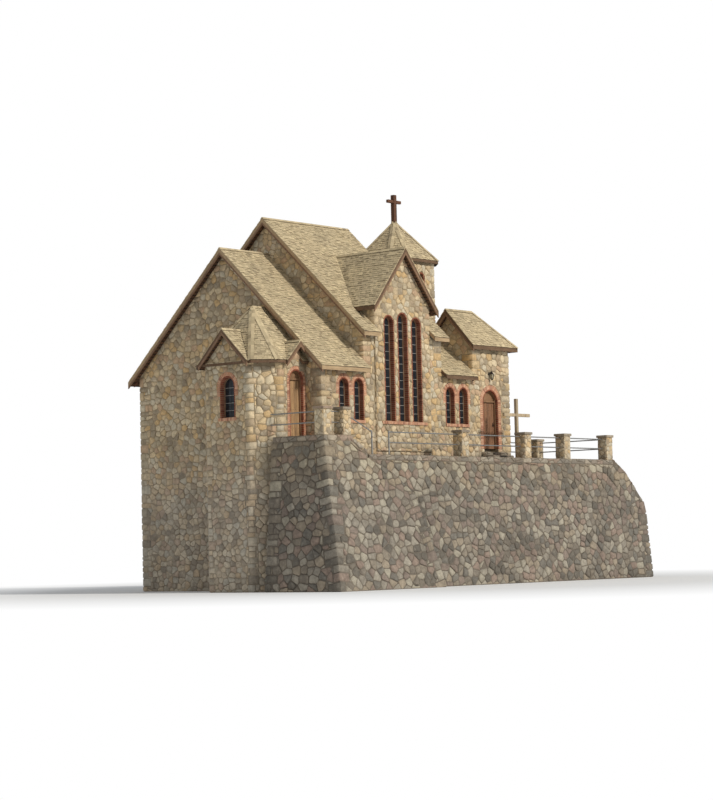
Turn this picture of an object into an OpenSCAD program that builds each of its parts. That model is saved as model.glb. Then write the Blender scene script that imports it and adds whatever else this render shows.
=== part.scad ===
// Small stone chapel on a battered rubble base: a two-step nave, cross gables with three
// lancets, a chamfered entrance porch, a corner tower, a link and a hipped annex, with a
// terrace, stairs, pipe rails and two doors that open. Millimetres, +Z up, +X along the nave.

/* [Nave] */
// Half of the nave's width, from outer wall face to ridge line
nave_half = 4880; // [4000:20:6000]
// Length of the high part of the nave
high_len = 4820; // [4000:20:6000]
// Length of the low part of the nave, in front of the high part's end gable
low_len = 2520; // [2200:20:3400]
// Height of the high roof's eave edge above the floor
high_eave = 4390; // [3900:10:5200]
// Height of the low roof's eave edge above the floor
low_eave = 2960; // [2850:10:3400]
// Pitch of both nave roofs, in degrees
roof_pitch = 43.4; // [40:0.1:50]
// Thickness of the nave walls
wall_t = 450; // [350:10:540]
// Vertical thickness of the roof slabs
roof_t = 150; // [120:10:220]
// How far the eaves stand out from the walls
eave_over = 360; // [260:10:460]
// How far the roofs stand out past the near gables
verge_over = 330; // [250:10:420]
// How far the high roof stands out past its far gable
far_verge = 160; // [120:10:240]
// Thickness of the floor slabs
floor_t = 200; // [150:10:260]

/* [Cross gables] */
// Wall between the near corner and the cross gable
shoulder_near = 645; // [560:5:800]
// Wall between the cross gable and the far corner
shoulder_far = 775; // [640:5:900]
// Height of the cross gable's ridge above the floor
gable_ridge = 7834; // [7300:2:8200]
// Pitch of the cross gable, in degrees
gable_pitch = 50.1; // [46:0.1:54]
// How far the cross gable's wall stands in front of the nave wall
gable_proud = 60; // [30:10:120]
// How far the cross gable's roof stands out past its wall
gable_over = 280; // [200:10:380]
// Thickness of the cross gable's cheek walls
cheek_t = 300; // [200:10:400]

/* [Windows] */
// Width of a lancet
lancet_w = 540; // [420:10:620]
// Distance between the middles of two lancets
lancet_step = 850; // [760:10:950]
// Height of the outer lancets' heads above the floor
lancet_head = 5110; // [4800:10:5300]
// How much higher the middle lancet is
lancet_rise = 140; // [60:10:240]
// Width of a small window
small_w = 520; // [420:10:620]
// Height of the small windows' heads above the floor
small_head = 2560; // [2300:10:2600]
// Distance between the middles of two small windows
small_step = 880; // [800:10:980]
// Distance from the high part's end gable to the middle of the low part's windows
low_win_mid = 780; // [720:10:900]
// Distance from the high part's far gable to the middle of the link's windows
link_win_mid = 990; // [900:10:1150]
// How much lower the link's windows are than the low part's
link_win_drop = 120; // [0:10:250]
// Height of the window openings' feet above the floor
sill_z = 970; // [850:10:1100]
// Height of a brick sill
sill_h = 110; // [80:5:150]
// How far a sill stands out from its wall
sill_out = 60; // [40:5:100]
// Width of the wooden window frames
frame_w = 45; // [35:5:60]
// Depth of the wooden window frames
frame_d = 70; // [50:5:90]
// How far a window frame stands back from the outer wall face
reveal = 180; // [140:10:240]
// Thickness of the glass
glass_t = 12; // [8:1:20]

/* [Entrance porch] */
// How far the porch stands out from the nave's end gable
porch_len = 2280; // [2050:10:2600]
// Distance from the nave's front plane to the porch's front wall
porch_set = 790; // [600:10:1000]
// Width of the porch across its chamfered end
porch_w = 3870; // [3500:10:4400]
// Leg of the porch's chamfered corners
porch_chamfer = 840; // [700:10:950]
// Thickness of the porch walls
porch_t = 400; // [320:10:450]
// Height of the porch's eave edge above the floor
porch_eave = 3170; // [3090:10:3300]
// Height of the porch's ridge above the floor
porch_ridge = 5390; // [5000:10:5500]
// Length of the porch's short ridge, from the nave's end gable
porch_ridge_len = 820; // [600:10:1000]
// Height of the end gable's ridge
end_gable_ridge = 4440; // [4200:10:4600]
// Height of the door gable's ridge
door_gable_ridge = 3940; // [3850:10:4050]
// Height of the porch window's head above the floor
porch_win_head = 2630; // [2400:10:2700]
// Width of the porch window
porch_win_w = 690; // [560:10:800]

/* [Doors] */
// Width of the porch doorway
porch_door_w = 720; // [640:10:800]
// Distance from the nave's end gable to the middle of the porch door
porch_door_at = 545; // [500:5:600]
// Height of the porch door's spring line above the floor
porch_spring = 2470; // [2300:10:2480]
// Width of the annex doorway
annex_door_w = 960; // [840:10:1060]
// Distance from the link to the middle of the annex door
annex_door_at = 1140; // [1060:10:1220]
// Height of the annex door's spring line above the floor
annex_spring = 1930; // [1850:10:2100]
// Thickness of the door leaves
leaf_t = 60; // [45:5:70]
// Gap between a leaf and what it closes against
leaf_gap = 12; // [10:1:16]
// How far a leaf stands back from the outer wall face
leaf_set = 180; // [140:10:220]
// Height of the fixed bar above a leaf
transom_h = 70; // [50:5:100]
// Radius of the hinge pins
pin_r = 9; // [7:0.5:12]
// Radial clearance between a hinge pin and its knuckle
pin_gap = 0.06; // [0.03:0.01:0.1]
// Height of a hinge knuckle
knuckle_h = 70; // [50:5:90]

/* [Tower] */
// Width of the tower across its flat faces
tower_w = 2720; // [2400:10:3100]
// Leg of the tower's chamfered corners
tower_chamfer = 500; // [380:10:620]
// Distance from the nave's front plane to the tower's middle
tower_y = 3350; // [3250:10:4200]
// Thickness of the tower walls
tower_t = 380; // [300:10:450]
// Height of the tower's eave edge
tower_eave = 7890; // [7500:10:8300]
// Height of the tower's apex
tower_apex = 9630; // [9300:10:10000]
// How far the tower's roof stands out
tower_over = 190; // [150:10:260]
// Width of the tower's cross post
cross_w = 190; // [150:10:220]
// Height of the tower's cross above the apex
cross_h = 1130; // [900:10:1300]
// Length of the tower cross's arm
cross_arm = 860; // [700:10:1000]

/* [Link and annex] */
// Length of the link between the nave and the annex
link_len = 2100; // [1800:10:2400]
// Height of the link's eave edge
link_eave = 2910; // [2850:10:3100]
// Pitch of the link's roof, in degrees
link_pitch = 39.7; // [34:0.1:42]
// Length of the annex
annex_len = 2460; // [2350:10:2900]
// Depth of the annex
annex_depth = 2230; // [2050:10:2600]
// Height of the annex's eave edge
annex_eave = 4210; // [4000:10:4500]
// Pitch of the annex's roof, in degrees
annex_pitch = 48; // [44:0.5:52]
// How far the annex's roof stands out
annex_over = 296; // [220:2:360]
// Length of the annex roof's hip
annex_hip = 1270; // [1000:10:1500]
// Thickness of the link and annex walls
annex_t = 380; // [300:10:420]

/* [Base and terrace] */
// Depth of the base below the floor
base_depth = 5500; // [4800:10:6400]
// Thickness of the foundation walls
base_t = 700; // [600:10:900]
// Thickness of the porch's foundation walls
porch_base_t = 550; // [450:10:580]
// Height of the entrance platform above the floor
platform_z = 250; // [180:10:300]
// Depth of the terrace below the floor
terrace_drop = 450; // [390:10:540]
// Distance from the nave's front plane to the platform's front edge
platform_out = 1750; // [1500:10:2100]
// Length of the platform along its front edge
platform_len = 1550; // [1400:10:1900]
// Distance from the porch's end face to the platform's end face
platform_in = 350; // [250:10:450]
// Batter of the bastion's front, as a share of its height
front_batter = 0.21; // [0.12:0.01:0.26]
// Batter of the bastion's end, as a share of its height
end_batter = 0.1; // [0.05:0.01:0.11]
// Distance from the nave's front plane to the terrace's front edge
terrace_out = 1840; // [1500:10:2200]
// Batter of the terrace wall, as a share of its height
terrace_batter = 0.08; // [0.04:0.01:0.12]
// How far the terrace runs past the annex
terrace_len = 4830; // [4000:10:5800]
// How far the terrace's end wall spreads at its foot
end_spread = 2250; // [1500:10:2600]
// Number of steps from the platform to the terrace
stair_steps = 4; // [3:1:5]
// Going of a platform step
stair_going = 300; // [260:10:340]
// Width of the platform stairs
stair_w = 1150; // [950:10:1250]
// Width of the annex door's steps
door_step_w = 1400; // [1200:10:1600]
// Width of the rail pillars
pillar_w = 440; // [360:10:500]
// Height of the rail pillars without their caps
pillar_h = 960; // [860:10:1060]
// Height of a pillar cap
cap_h = 90; // [60:5:120]
// How far a pillar cap stands out
cap_over = 45; // [30:5:70]
// Height of the top rail above the paving
rail_h = 880; // [780:10:960]
// Distance between the two rails
rail_step = 400; // [320:10:460]
// Radius of the pipe rails
rail_r = 24; // [18:1:30]
// Height of the terrace's wooden cross above the paving
yard_cross_h = 2450; // [2100:10:2700]
// Length of the yard cross's arm
yard_cross_arm = 1760; // [1500:10:1900]

/* [Trim] */
// Depth of the barge boards
barge_h = 100; // [60:10:180]
// Thickness of the barge boards
barge_t = 50; // [35:5:70]

/* [Hidden] */
$fn = 32;
far_away = 20000;

// Roofs lie on their walls with a hair's gap
seat = 0.3;
bed = roof_t + seat;

// Roof slopes
nave_slope = tan(roof_pitch);
gable_slope = tan(gable_pitch);
link_slope = tan(link_pitch);
annex_slope = tan(annex_pitch);

// Nave
nave_w = 2 * nave_half;
high_ridge = high_eave + (nave_half + eave_over) * nave_slope;
function high_top(y) = high_eave + (y + eave_over) * nave_slope;
function low_top(y) = low_eave + (y + eave_over) * nave_slope;

// Cross gables
gable_w = high_len - shoulder_near - shoulder_far;
gable_x = shoulder_near + gable_w / 2;
function gable_top(x) = gable_ridge - abs(x - gable_x) * gable_slope;
gable_front = -gable_proud - gable_over;
gable_eave_over = 300;
gable_roof_half = gable_w / 2 + gable_eave_over;
lancet_h = [lancet_head - sill_z, lancet_head + lancet_rise - sill_z, lancet_head - sill_z];
low_win_x = [-low_win_mid - small_step / 2, -low_win_mid + small_step / 2];

// Entrance porch
porch_x = -low_len - porch_len;
porch_y = porch_set + porch_w / 2;
porch_over = 200;
porch_roof_t = 140;
porch_roof_edge = 100;
porch_gable_slope = 1;
porch_gable_t = 120;
porch_gable_over = 290;
porch_door_x = -low_len - porch_door_at;
end_gable_half = end_gable_ridge - porch_eave;
door_gable_half = door_gable_ridge - porch_eave;
porch_pier_w = 340;
porch_split_x = porch_door_x - porch_door_w / 2 - porch_pier_w;
door_gable_edge = -low_len - verge_over;
porch_win_foot = sill_z + sill_h;
inner_arch_w = 1100;
inner_arch_h = 2150;

// Tower
tower_x = high_len + tower_w / 2;
tower_roof_t = 150;
tower_roof_edge = 110;
tower_front = tower_y - tower_w / 2;
tower_win_w = 340;
tower_win_foot = 6870;
tower_win_head = 7340;

// Link and annex
annex_x = high_len + link_len;
annex_end = annex_x + annex_len;
annex_ridge = annex_eave + (annex_depth / 2 + annex_over) * annex_slope;
annex_ridge_end = annex_end + annex_over - annex_hip;
link_roof_t = 140;
annex_roof_t = 150;
annex_door_x = annex_x + annex_door_at;
link_win_x = [high_len + link_win_mid - small_step / 2, high_len + link_win_mid + small_step / 2];
link_win_h = small_head - link_win_drop - sill_z;
function link_top(y) = link_eave + (y + annex_over) * link_slope;
inner_door_w = 860;
inner_door_h = 2050;
inner_door_y = (annex_t + tower_front) / 2;
inner_spring = inner_door_h - inner_door_w / 2;
annex_return_x = min(annex_x + 300, high_len + tower_w);

// Base and terrace
base_z = -base_depth;
terrace_z = -terrace_drop;
terrace_end = annex_end + terrace_len;
platform_x = porch_x + platform_in;
stair_x = platform_x + platform_len;
stair_rise = (platform_z - terrace_z) / stair_steps;
stair_end = stair_x + (stair_steps - 1) * stair_going;
bastion_top = platform_z - floor_t;
bastion_h = bastion_top - base_z;
bastion_foot_y = -platform_out - bastion_h * front_batter;
bastion_foot_x = platform_x - bastion_h * end_batter;
bastion_t = 800;
flank_run = 3100;
flank_lean = 700;
flank_x = stair_end + flank_run;
terrace_top = terrace_z - floor_t;
terrace_h = terrace_top - base_z;
terrace_t = 600;
annex_step_rise = terrace_drop / 3;
annex_step_going = 310;
end_knee = terrace_z - 2300;

// Doors: a leaf hangs on two pins just behind its inner face and opens inwards
pin_off_x = 27;
pin_off_y = 24;
knuckle_r = 20;
bracket_h = 22;
bracket_r = 16;
bracket_gap = 1;
pin_above = 8;
strap_t = 8;
strap_h = 50;
strap_share = 0.8;
hinge_low = 380;
hinge_high = 330;
stop_w = 35;
stop_d = 70;
stop_gap = 8;
porch_leaf_h = porch_spring - platform_z;
annex_leaf_h = annex_spring;

// Site: the middle of the whole outline stands on the origin
site_x_low = min(porch_x - porch_gable_over, bastion_foot_x);
site_x_high = terrace_end + end_spread;
site_y_low = min(bastion_foot_y, -terrace_out - terrace_h * terrace_batter);
site_y_high = nave_w + eave_over;
site_x = (site_x_low + site_x_high) / 2;
site_y = (site_y_low + site_y_high) / 2;

// Colours
stone_colour = [0.62, 0.55, 0.46];
rubble_colour = [0.55, 0.50, 0.44];
roof_colour = [0.50, 0.45, 0.36];
wood_colour = [0.42, 0.26, 0.17];
door_colour = [0.40, 0.25, 0.16];
brick_colour = [0.58, 0.34, 0.26];
iron_colour = [0.20, 0.20, 0.21];
pipe_colour = [0.55, 0.55, 0.54];
paving_colour = [0.58, 0.55, 0.50];
glass_colour = [0.12, 0.14, 0.15];

module on_site() {
    translate([-site_x, -site_y, base_depth]) children();
}

// A profile of [x, z] points, run from y0 to y1
module along_y(y0, y1) {
    translate([0, y1, 0]) rotate([90, 0, 0]) linear_extrude(y1 - y0) children();
}

// A profile of [y, z] points, run from x0 to x1
module along_x(x0, x1) {
    translate([x0, 0, 0]) rotate([90, 0, 90]) linear_extrude(x1 - x0) children();
}

module box(x0, x1, y0, y1, z0, z1) {
    translate([x0, y0, z0]) cube([x1 - x0, y1 - y0, z1 - z0]);
}

// The same thing on the back of the nave
module both_sides() {
    children();
    back_side() children();
}

module back_side() {
    translate([0, nave_w, 0]) mirror([0, 1, 0]) children();
}

// Round-headed opening, foot at the origin
module arch(w, h) {
    translate([-w / 2, 0]) square([w, h - w / 2]);
    translate([0, h - w / 2]) circle(r = w / 2);
}

module arch_y(x, z, w, h, y0, y1) {
    along_y(y0, y1) translate([x, z]) arch(w, h);
}

module arch_x(y, z, w, h, x0, x1) {
    along_x(x0, x1) translate([y, z]) arch(w, h);
}

// Everything below the high roof's upper faces
module under_high_roof() {
    along_x(-far_away, far_away) polygon([
        [-far_away, high_top(-far_away)],
        [nave_half, high_ridge],
        [nave_w + far_away, high_top(-far_away)]
    ]);
}

// A slab with two slopes, as a profile of points
function chevron(mid, half, eave, ridge, t) = [
    [mid - half, eave - t], [mid - half, eave], [mid, ridge],
    [mid + half, eave], [mid + half, eave - t], [mid, ridge - t]
];

module nave_base() {
    color(rubble_colour) on_site() difference() {
        box(-low_len, high_len, 0, nave_w, base_z, -floor_t);
        box(-low_len + base_t, high_len - base_t, base_t, nave_w - base_t, base_z - 1, 0);
    }
}

// Plan of the porch, grown or shrunk by an even distance
module porch_plan(grow) {
    leg = porch_chamfer - grow * (2 - sqrt(2));
    x0 = porch_x - grow;
    y0 = porch_set - grow;
    y1 = porch_set + porch_w + grow;
    polygon([
        [-low_len, y0], [x0 + leg, y0], [x0, y0 + leg],
        [x0, y1 - leg], [x0 + leg, y1], [-low_len, y1]
    ]);
}

module porch_base() {
    color(rubble_colour) on_site() translate([0, 0, base_z]) difference() {
        linear_extrude(base_depth - floor_t) porch_plan(0);
        translate([0, 0, -1]) linear_extrude(base_depth) porch_plan(-porch_base_t);
    }
}

// Plan of the tower, grown or shrunk by an even distance
module tower_plan(grow) {
    a = tower_w / 2 + grow;
    leg = tower_chamfer + grow * (2 - sqrt(2));
    c = a - leg;
    translate([tower_x, tower_y]) polygon([
        [c, -a], [a, -c], [a, c], [c, a], [-c, a], [-a, c], [-a, -c], [-c, -a]
    ]);
}

module annex_plan() {
    translate([high_len, 0]) square([annex_end - high_len, annex_depth]);
    tower_plan(0);
    translate([high_len, tower_y - tower_w / 2]) square([tower_w / 2, tower_w]);
}

module annex_base() {
    color(rubble_colour) on_site() translate([0, 0, base_z]) difference() {
        linear_extrude(base_depth - floor_t) annex_plan();
        translate([0, 0, -1]) linear_extrude(base_depth) {
            translate([high_len + base_t, base_t])
                square([annex_end - high_len - 2 * base_t, annex_depth - 2 * base_t]);
            translate([tower_x - tower_w / 2 + base_t, tower_y - tower_w / 2 + base_t])
                square(tower_w - 2 * base_t);
        }
    }
}

// Battered block of the bastion, shrunk by an even distance
module bastion_block(in) {
    hull() {
        box(platform_x + in, flank_x - flank_lean - in, -platform_out + in, 0,
            bastion_top - 1, bastion_top);
        box(bastion_foot_x + in, flank_x - in, bastion_foot_y + in, 0, base_z, base_z + 1);
    }
}

// Outline of the bastion's front: the platform, the stairs and a spreading flank
module bastion_front(drop) {
    knee = [1250, 520];
    shoulder = [900, 1250];
    polygon([
        [bastion_foot_x - 10, base_z], [bastion_foot_x - 10, bastion_top - drop],
        [stair_x, bastion_top - drop],
        [stair_end, terrace_top - drop],
        [stair_end + knee[0], terrace_top - knee[1] - drop],
        [flank_x - shoulder[0], terrace_top - shoulder[1] - drop],
        [flank_x, base_z]
    ]);
}

module bastion() {
    web = 500;
    color(rubble_colour) on_site() difference() {
        union() {
            intersection() {
                bastion_block(0);
                along_y(bastion_foot_y - 10, porch_set) bastion_front(0);
            }
            hull() {
                box(platform_x, -low_len, -10, porch_set, bastion_top - 1, bastion_top);
                box(bastion_foot_x, -low_len, -10, porch_set, base_z, base_z + 1);
            }
        }
        intersection() {
            translate([0, 0, -bastion_t / 2]) bastion_block(bastion_t);
            along_y(bastion_foot_y - 10, porch_set) bastion_front(bastion_t);
        }
        box(platform_x + bastion_t, -low_len - bastion_t, -10, porch_set - web, base_z - 1,
            bastion_top - bastion_t);
        translate([0, 0, base_z - 1]) linear_extrude(base_depth + porch_eave) porch_plan(0);
        box(-low_len, far_away, 0, far_away, base_z - 1, far_away);
    }
}

module terrace_block(in) {
    hull() {
        box(stair_end, terrace_end, -terrace_out + in, 0, terrace_top - 1, terrace_top);
        box(stair_end, terrace_end, -terrace_out - terrace_h * terrace_batter + in, 0,
            base_z, base_z + 1);
    }
}

module terrace_front_wall() {
    color(rubble_colour) on_site() difference() {
        terrace_block(0);
        translate([0, 0, -1]) terrace_block(terrace_t);
        intersection() {
            bastion_block(-seat);
            along_y(bastion_foot_y - 10, 0) bastion_front(-seat);
        }
        box(-far_away, stair_end + 1, -far_away, far_away, base_z - 1, 0);
    }
}

// The terrace's end wall spreads in a hollow curve, like a buttress
module terrace_end_wall() {
    foot = terrace_end + end_spread;
    color(rubble_colour) on_site() difference() {
        union() {
            along_y(-terrace_out - terrace_h * terrace_batter, annex_depth) polygon([
                [terrace_end, base_z], [terrace_end, terrace_z],
                [terrace_end + 60, terrace_z],
                [terrace_end + 0.34 * end_spread, terrace_z - 420],
                [terrace_end + 0.56 * end_spread, terrace_z - 900],
                [terrace_end + 0.90 * end_spread, terrace_z - 1750],
                [terrace_end + 0.96 * end_spread, end_knee], [foot, base_z]
            ]);
            box(annex_end, terrace_end, annex_depth - terrace_t, annex_depth, base_z, terrace_top);
        }
        translate([terrace_end - 10, 0, 0]) rotate([90, 0, 90]) linear_extrude(end_spread + 20) polygon([
            [-far_away, base_z - 1], [-terrace_out - terrace_h * terrace_batter, base_z - 1],
            [-terrace_out - terrace_h * terrace_batter, base_z], [-terrace_out, terrace_top],
            [-terrace_out, 0], [-far_away, 0]
        ]);
        box(terrace_end - 1, foot - base_t, -terrace_out + terrace_t, annex_depth - terrace_t,
            base_z - 1, end_knee - terrace_t);
    }
}

module inner_floors() {
    color(paving_colour) on_site() {
        box(-low_len + wall_t, high_len - wall_t, wall_t, nave_w - wall_t, -floor_t, 0);
        translate([0, 0, -floor_t]) linear_extrude(platform_z + floor_t) porch_plan(-porch_t - seat);
        difference() {
            box(high_len, annex_x, annex_t, tower_y, -floor_t, 0);
            translate([0, 0, -floor_t - 1]) linear_extrude(floor_t + 2) tower_plan(0);
        }
        box(annex_x + annex_t, annex_end - annex_t, annex_t, annex_depth - annex_t, -floor_t, 0);
        translate([0, 0, -floor_t]) linear_extrude(floor_t) tower_plan(-tower_t);
    }
}

module outer_paving() {
    color(paving_colour) on_site() {
        difference() {
            union() {
                box(platform_x, stair_x, -platform_out, 0, bastion_top, platform_z);
                box(platform_x, -low_len, -10, porch_set, bastion_top, platform_z);
            }
            translate([0, 0, bastion_top - 1]) linear_extrude(floor_t + 2) porch_plan(0);
        }
        box(stair_end, annex_end, -terrace_out, 0, terrace_top, terrace_z);
        box(annex_end, terrace_end, -terrace_out, annex_depth, terrace_top, terrace_z);
    }
}

// Stairs from the platform down to the terrace, and steps up to the annex door
module outer_steps() {
    color(paving_colour) on_site() {
        difference() {
            for (i = [1:stair_steps - 1])
                box(stair_x + (i - 1) * stair_going, stair_x + i * stair_going,
                    -platform_out, -platform_out + stair_w, terrace_top - 700,
                    platform_z - i * stair_rise);
            along_y(-far_away, far_away) bastion_front(-seat);
        }
        for (i = [1:2])
            box(annex_door_x - door_step_w / 2, annex_door_x + door_step_w / 2,
                -i * annex_step_going, -(i - 1) * annex_step_going, terrace_z,
                -i * annex_step_rise);
    }
}

// End gable of the low part, with a plain doorway into the porch
module low_end_wall() {
    color(stone_colour) on_site() difference() {
        along_x(-low_len, -low_len + wall_t) polygon([
            [0, -floor_t], [nave_w, -floor_t], [nave_w, low_top(0) - bed],
            [nave_half, low_top(nave_half) - bed], [0, low_top(0) - bed]
        ]);
        arch_x(porch_y, platform_z, inner_arch_w, inner_arch_h, -low_len - 10, -low_len + wall_t + 10);
    }
}

module low_side_walls() {
    color(stone_colour) on_site() both_sides() difference() {
        along_x(-low_len + wall_t, 0) polygon([
            [0, -floor_t], [wall_t, -floor_t], [wall_t, low_top(wall_t) - bed],
            [0, low_top(0) - bed]
        ]);
        for (x = low_win_x)
            arch_y(x, sill_z, small_w, small_head - sill_z, -10, wall_t + 10);
    }
}

// Gable wall between the two parts, carried by a wide pointed opening
module crossing_wall() {
    rib = 260;
    inner = wall_t + rib;
    color(stone_colour) on_site() along_x(0, wall_t) difference() {
        polygon([
            [0, -floor_t], [nave_w, -floor_t], [nave_w, high_top(0) - bed],
            [nave_half, high_ridge - bed], [0, high_top(0) - bed]
        ]);
        polygon([
            [inner, -floor_t - 1], [nave_w - inner, -floor_t - 1],
            [nave_w - inner, low_top(wall_t) - bed - rib],
            [nave_half, low_top(nave_half) - bed - 2 * rib],
            [inner, low_top(wall_t) - bed - rib]
        ]);
        translate([wall_t, -floor_t]) square([nave_w - 2 * wall_t, floor_t]);
    }
}

module gable_outline() {
    polygon([
        [gable_x - gable_w / 2, -floor_t], [gable_x + gable_w / 2, -floor_t],
        [gable_x + gable_w / 2, gable_top(gable_x + gable_w / 2) - bed],
        [gable_x, gable_ridge - bed],
        [gable_x - gable_w / 2, gable_top(gable_x - gable_w / 2) - bed]
    ]);
}

module high_side_wall() {
    difference() {
        union() {
            along_x(wall_t, high_len - wall_t) polygon([
                [0, -floor_t], [wall_t, -floor_t], [wall_t, high_top(wall_t) - bed],
                [0, high_top(0) - bed]
            ]);
            along_y(-gable_proud, wall_t) gable_outline();
        }
        for (i = [0:2])
            arch_y(gable_x + (i - 1) * lancet_step, sill_z, lancet_w, lancet_h[i],
                -gable_proud - 10, wall_t + 10);
    }
}

module high_front_wall() {
    color(stone_colour) on_site() high_side_wall();
}

module high_back_wall() {
    color(stone_colour) on_site() back_side() high_side_wall();
}

module far_gable_wall() {
    color(stone_colour) on_site() difference() {
        along_x(high_len - wall_t, high_len) polygon([
            [0, -floor_t], [nave_w, -floor_t], [nave_w, high_top(0) - bed],
            [nave_half, high_ridge - bed], [0, high_top(0) - bed]
        ]);
        arch_x(inner_door_y, 0, inner_door_w, inner_door_h, high_len - wall_t - 10, high_len + 10);
    }
}

// Low walls that carry the cross gables' roofs on the high roof
module gable_cheeks() {
    color(stone_colour) on_site() both_sides() difference() {
        for (s = [-1, 1])
            along_y(wall_t, nave_half) polygon([
                [gable_x + s * gable_w / 2, 0],
                [gable_x + s * gable_w / 2, gable_top(gable_x + gable_w / 2) - bed],
                [gable_x + s * (gable_w / 2 - cheek_t),
                    gable_top(gable_x + gable_w / 2 - cheek_t) - bed],
                [gable_x + s * (gable_w / 2 - cheek_t), 0]
            ]);
        under_high_roof();
    }
}

// Main body of the porch roof, lowered by an even drop
module porch_roof_body(drop) {
    translate([0, 0, -drop]) hull() {
        translate([0, 0, porch_eave - porch_roof_edge])
            linear_extrude(porch_roof_edge) porch_plan(porch_over);
        box(-low_len - porch_ridge_len, -low_len, porch_y - 1, porch_y + 1,
            porch_ridge - 2, porch_ridge);
    }
}

// Everything below the porch roof's underside
module under_porch_roof(gap) {
    porch_roof_body(porch_roof_t + gap);
    translate([0, 0, -floor_t])
        linear_extrude(porch_eave - porch_roof_t - porch_roof_edge + 1 + floor_t)
        porch_plan(porch_over);
}

// Everything below the undersides of the porch's two small gables, lowered by a gap
module under_end_gable(gap) {
    under = end_gable_half - porch_gable_t / porch_gable_slope;
    translate([0, 0, -gap]) along_x(-far_away, -low_len - porch_ridge_len) polygon([
        [porch_y - under, porch_eave], [porch_y + under, porch_eave],
        [porch_y, end_gable_ridge - porch_gable_t]
    ]);
}

module under_door_gable(gap) {
    under = door_gable_half - porch_gable_t / porch_gable_slope;
    translate([0, 0, -gap]) intersection() {
        along_y(-far_away, porch_y) polygon([
            [porch_door_x - under - porch_gable_t, porch_eave - porch_gable_t],
            [porch_door_x + under + porch_gable_t, porch_eave - porch_gable_t],
            [porch_door_x, door_gable_ridge - porch_gable_t]
        ]);
        box(-far_away, door_gable_edge, -far_away, far_away, 0, far_away);
    }
}

module porch_shell() {
    translate([0, 0, -floor_t]) linear_extrude(porch_ridge) difference() {
        porch_plan(0);
        porch_plan(-porch_t);
    }
}

module porch_walls() {
    color(stone_colour) on_site() difference() {
        intersection() {
            porch_shell();
            union() {
                under_porch_roof(seat);
                under_end_gable(seat);
            }
        }
        box(porch_split_x, far_away, -far_away, porch_set + porch_t, -far_away, far_away);
        box(porch_door_x - porch_door_w / 2, porch_door_x, porch_set, porch_y, platform_z,
            porch_spring + porch_door_w / 2);
        arch_x(porch_y, porch_win_foot, porch_win_w, porch_win_head - porch_win_foot,
            porch_x - 10, porch_x + porch_t + 10);
    }
}

// Front wall of the porch round its doorway, split beside and over it
module porch_front(x0, x1, z0, z1) {
    intersection() {
        box(x0, x1, porch_set, porch_set + porch_t, z0, z1);
        porch_shell();
        union() {
            under_porch_roof(seat);
            under_door_gable(seat);
        }
    }
}

module porch_door_piers() {
    color(stone_colour) on_site() {
        porch_front(porch_split_x, porch_door_x - porch_door_w / 2, -floor_t, porch_spring);
        porch_front(porch_door_x + porch_door_w / 2, -low_len, -floor_t, porch_spring);
    }
}

module porch_door_head() {
    color(stone_colour) on_site() difference() {
        porch_front(porch_split_x, -low_len, porch_spring, porch_ridge);
        along_y(porch_set - 10, porch_set + porch_t + 10)
            translate([porch_door_x, porch_spring]) circle(r = porch_door_w / 2);
    }
}

module tower_roof_body(drop) {
    translate([0, 0, -drop]) hull() {
        translate([0, 0, tower_eave - tower_roof_edge])
            linear_extrude(tower_roof_edge) tower_plan(tower_over);
        translate([tower_x, tower_y, tower_apex - 2]) linear_extrude(2) square(4, center = true);
    }
}

// The tower as a full body, up to its roof's underside
module tower_core() {
    intersection() {
        translate([0, 0, -floor_t]) linear_extrude(tower_apex) tower_plan(0);
        union() {
            tower_roof_body(tower_roof_t + seat);
            box(high_len - 1, far_away, 0, far_away, -floor_t,
                tower_eave - tower_roof_t - tower_roof_edge + 1);
        }
    }
}

// Front wall of the tower beside its doorway
module tower_piers() {
    a = tower_w / 2;
    translate([0, 0, -floor_t]) linear_extrude(inner_spring + floor_t) difference() {
        intersection() {
            tower_plan(0);
            translate([tower_x - a, tower_front]) square([tower_w, tower_t]);
        }
        translate([tower_x - inner_door_w / 2, tower_front]) square([inner_door_w, tower_t]);
    }
}

module tower_door_piers() {
    color(stone_colour) on_site() tower_piers();
}

module tower_walls() {
    a = tower_w / 2;
    win_h = tower_win_head - tower_win_foot;
    color(stone_colour) on_site() difference() {
        tower_core();
        translate([0, 0, -floor_t - 1]) linear_extrude(tower_apex + floor_t) tower_plan(-tower_t);
        box(tower_x - a, tower_x + a, tower_front - 10, tower_front + tower_t, -floor_t - 1,
            inner_spring);
        arch_y(tower_x, 0, inner_door_w, inner_door_h, tower_front - 10, tower_front + tower_t + 10);
        arch_y(tower_x, tower_win_foot, tower_win_w, win_h, tower_front - 10, tower_y + a + 10);
        arch_x(tower_y, tower_win_foot, tower_win_w, win_h, tower_x, tower_x + a + 10);
    }
}

module link_front_wall() {
    color(stone_colour) on_site() difference() {
        along_x(high_len, annex_x) polygon([
            [0, -floor_t], [annex_t, -floor_t], [annex_t, link_top(annex_t) - link_roof_t - seat],
            [0, link_top(0) - link_roof_t - seat]
        ]);
        for (x = link_win_x)
            arch_y(x, sill_z, small_w, link_win_h, -10, annex_t + 10);
    }
}

// The annex's near wall runs back to the tower, under a level strip of roof
module annex_return_roof() {
    box(annex_x, annex_return_x, annex_depth, tower_y, annex_eave - annex_roof_t, annex_eave);
}

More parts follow.
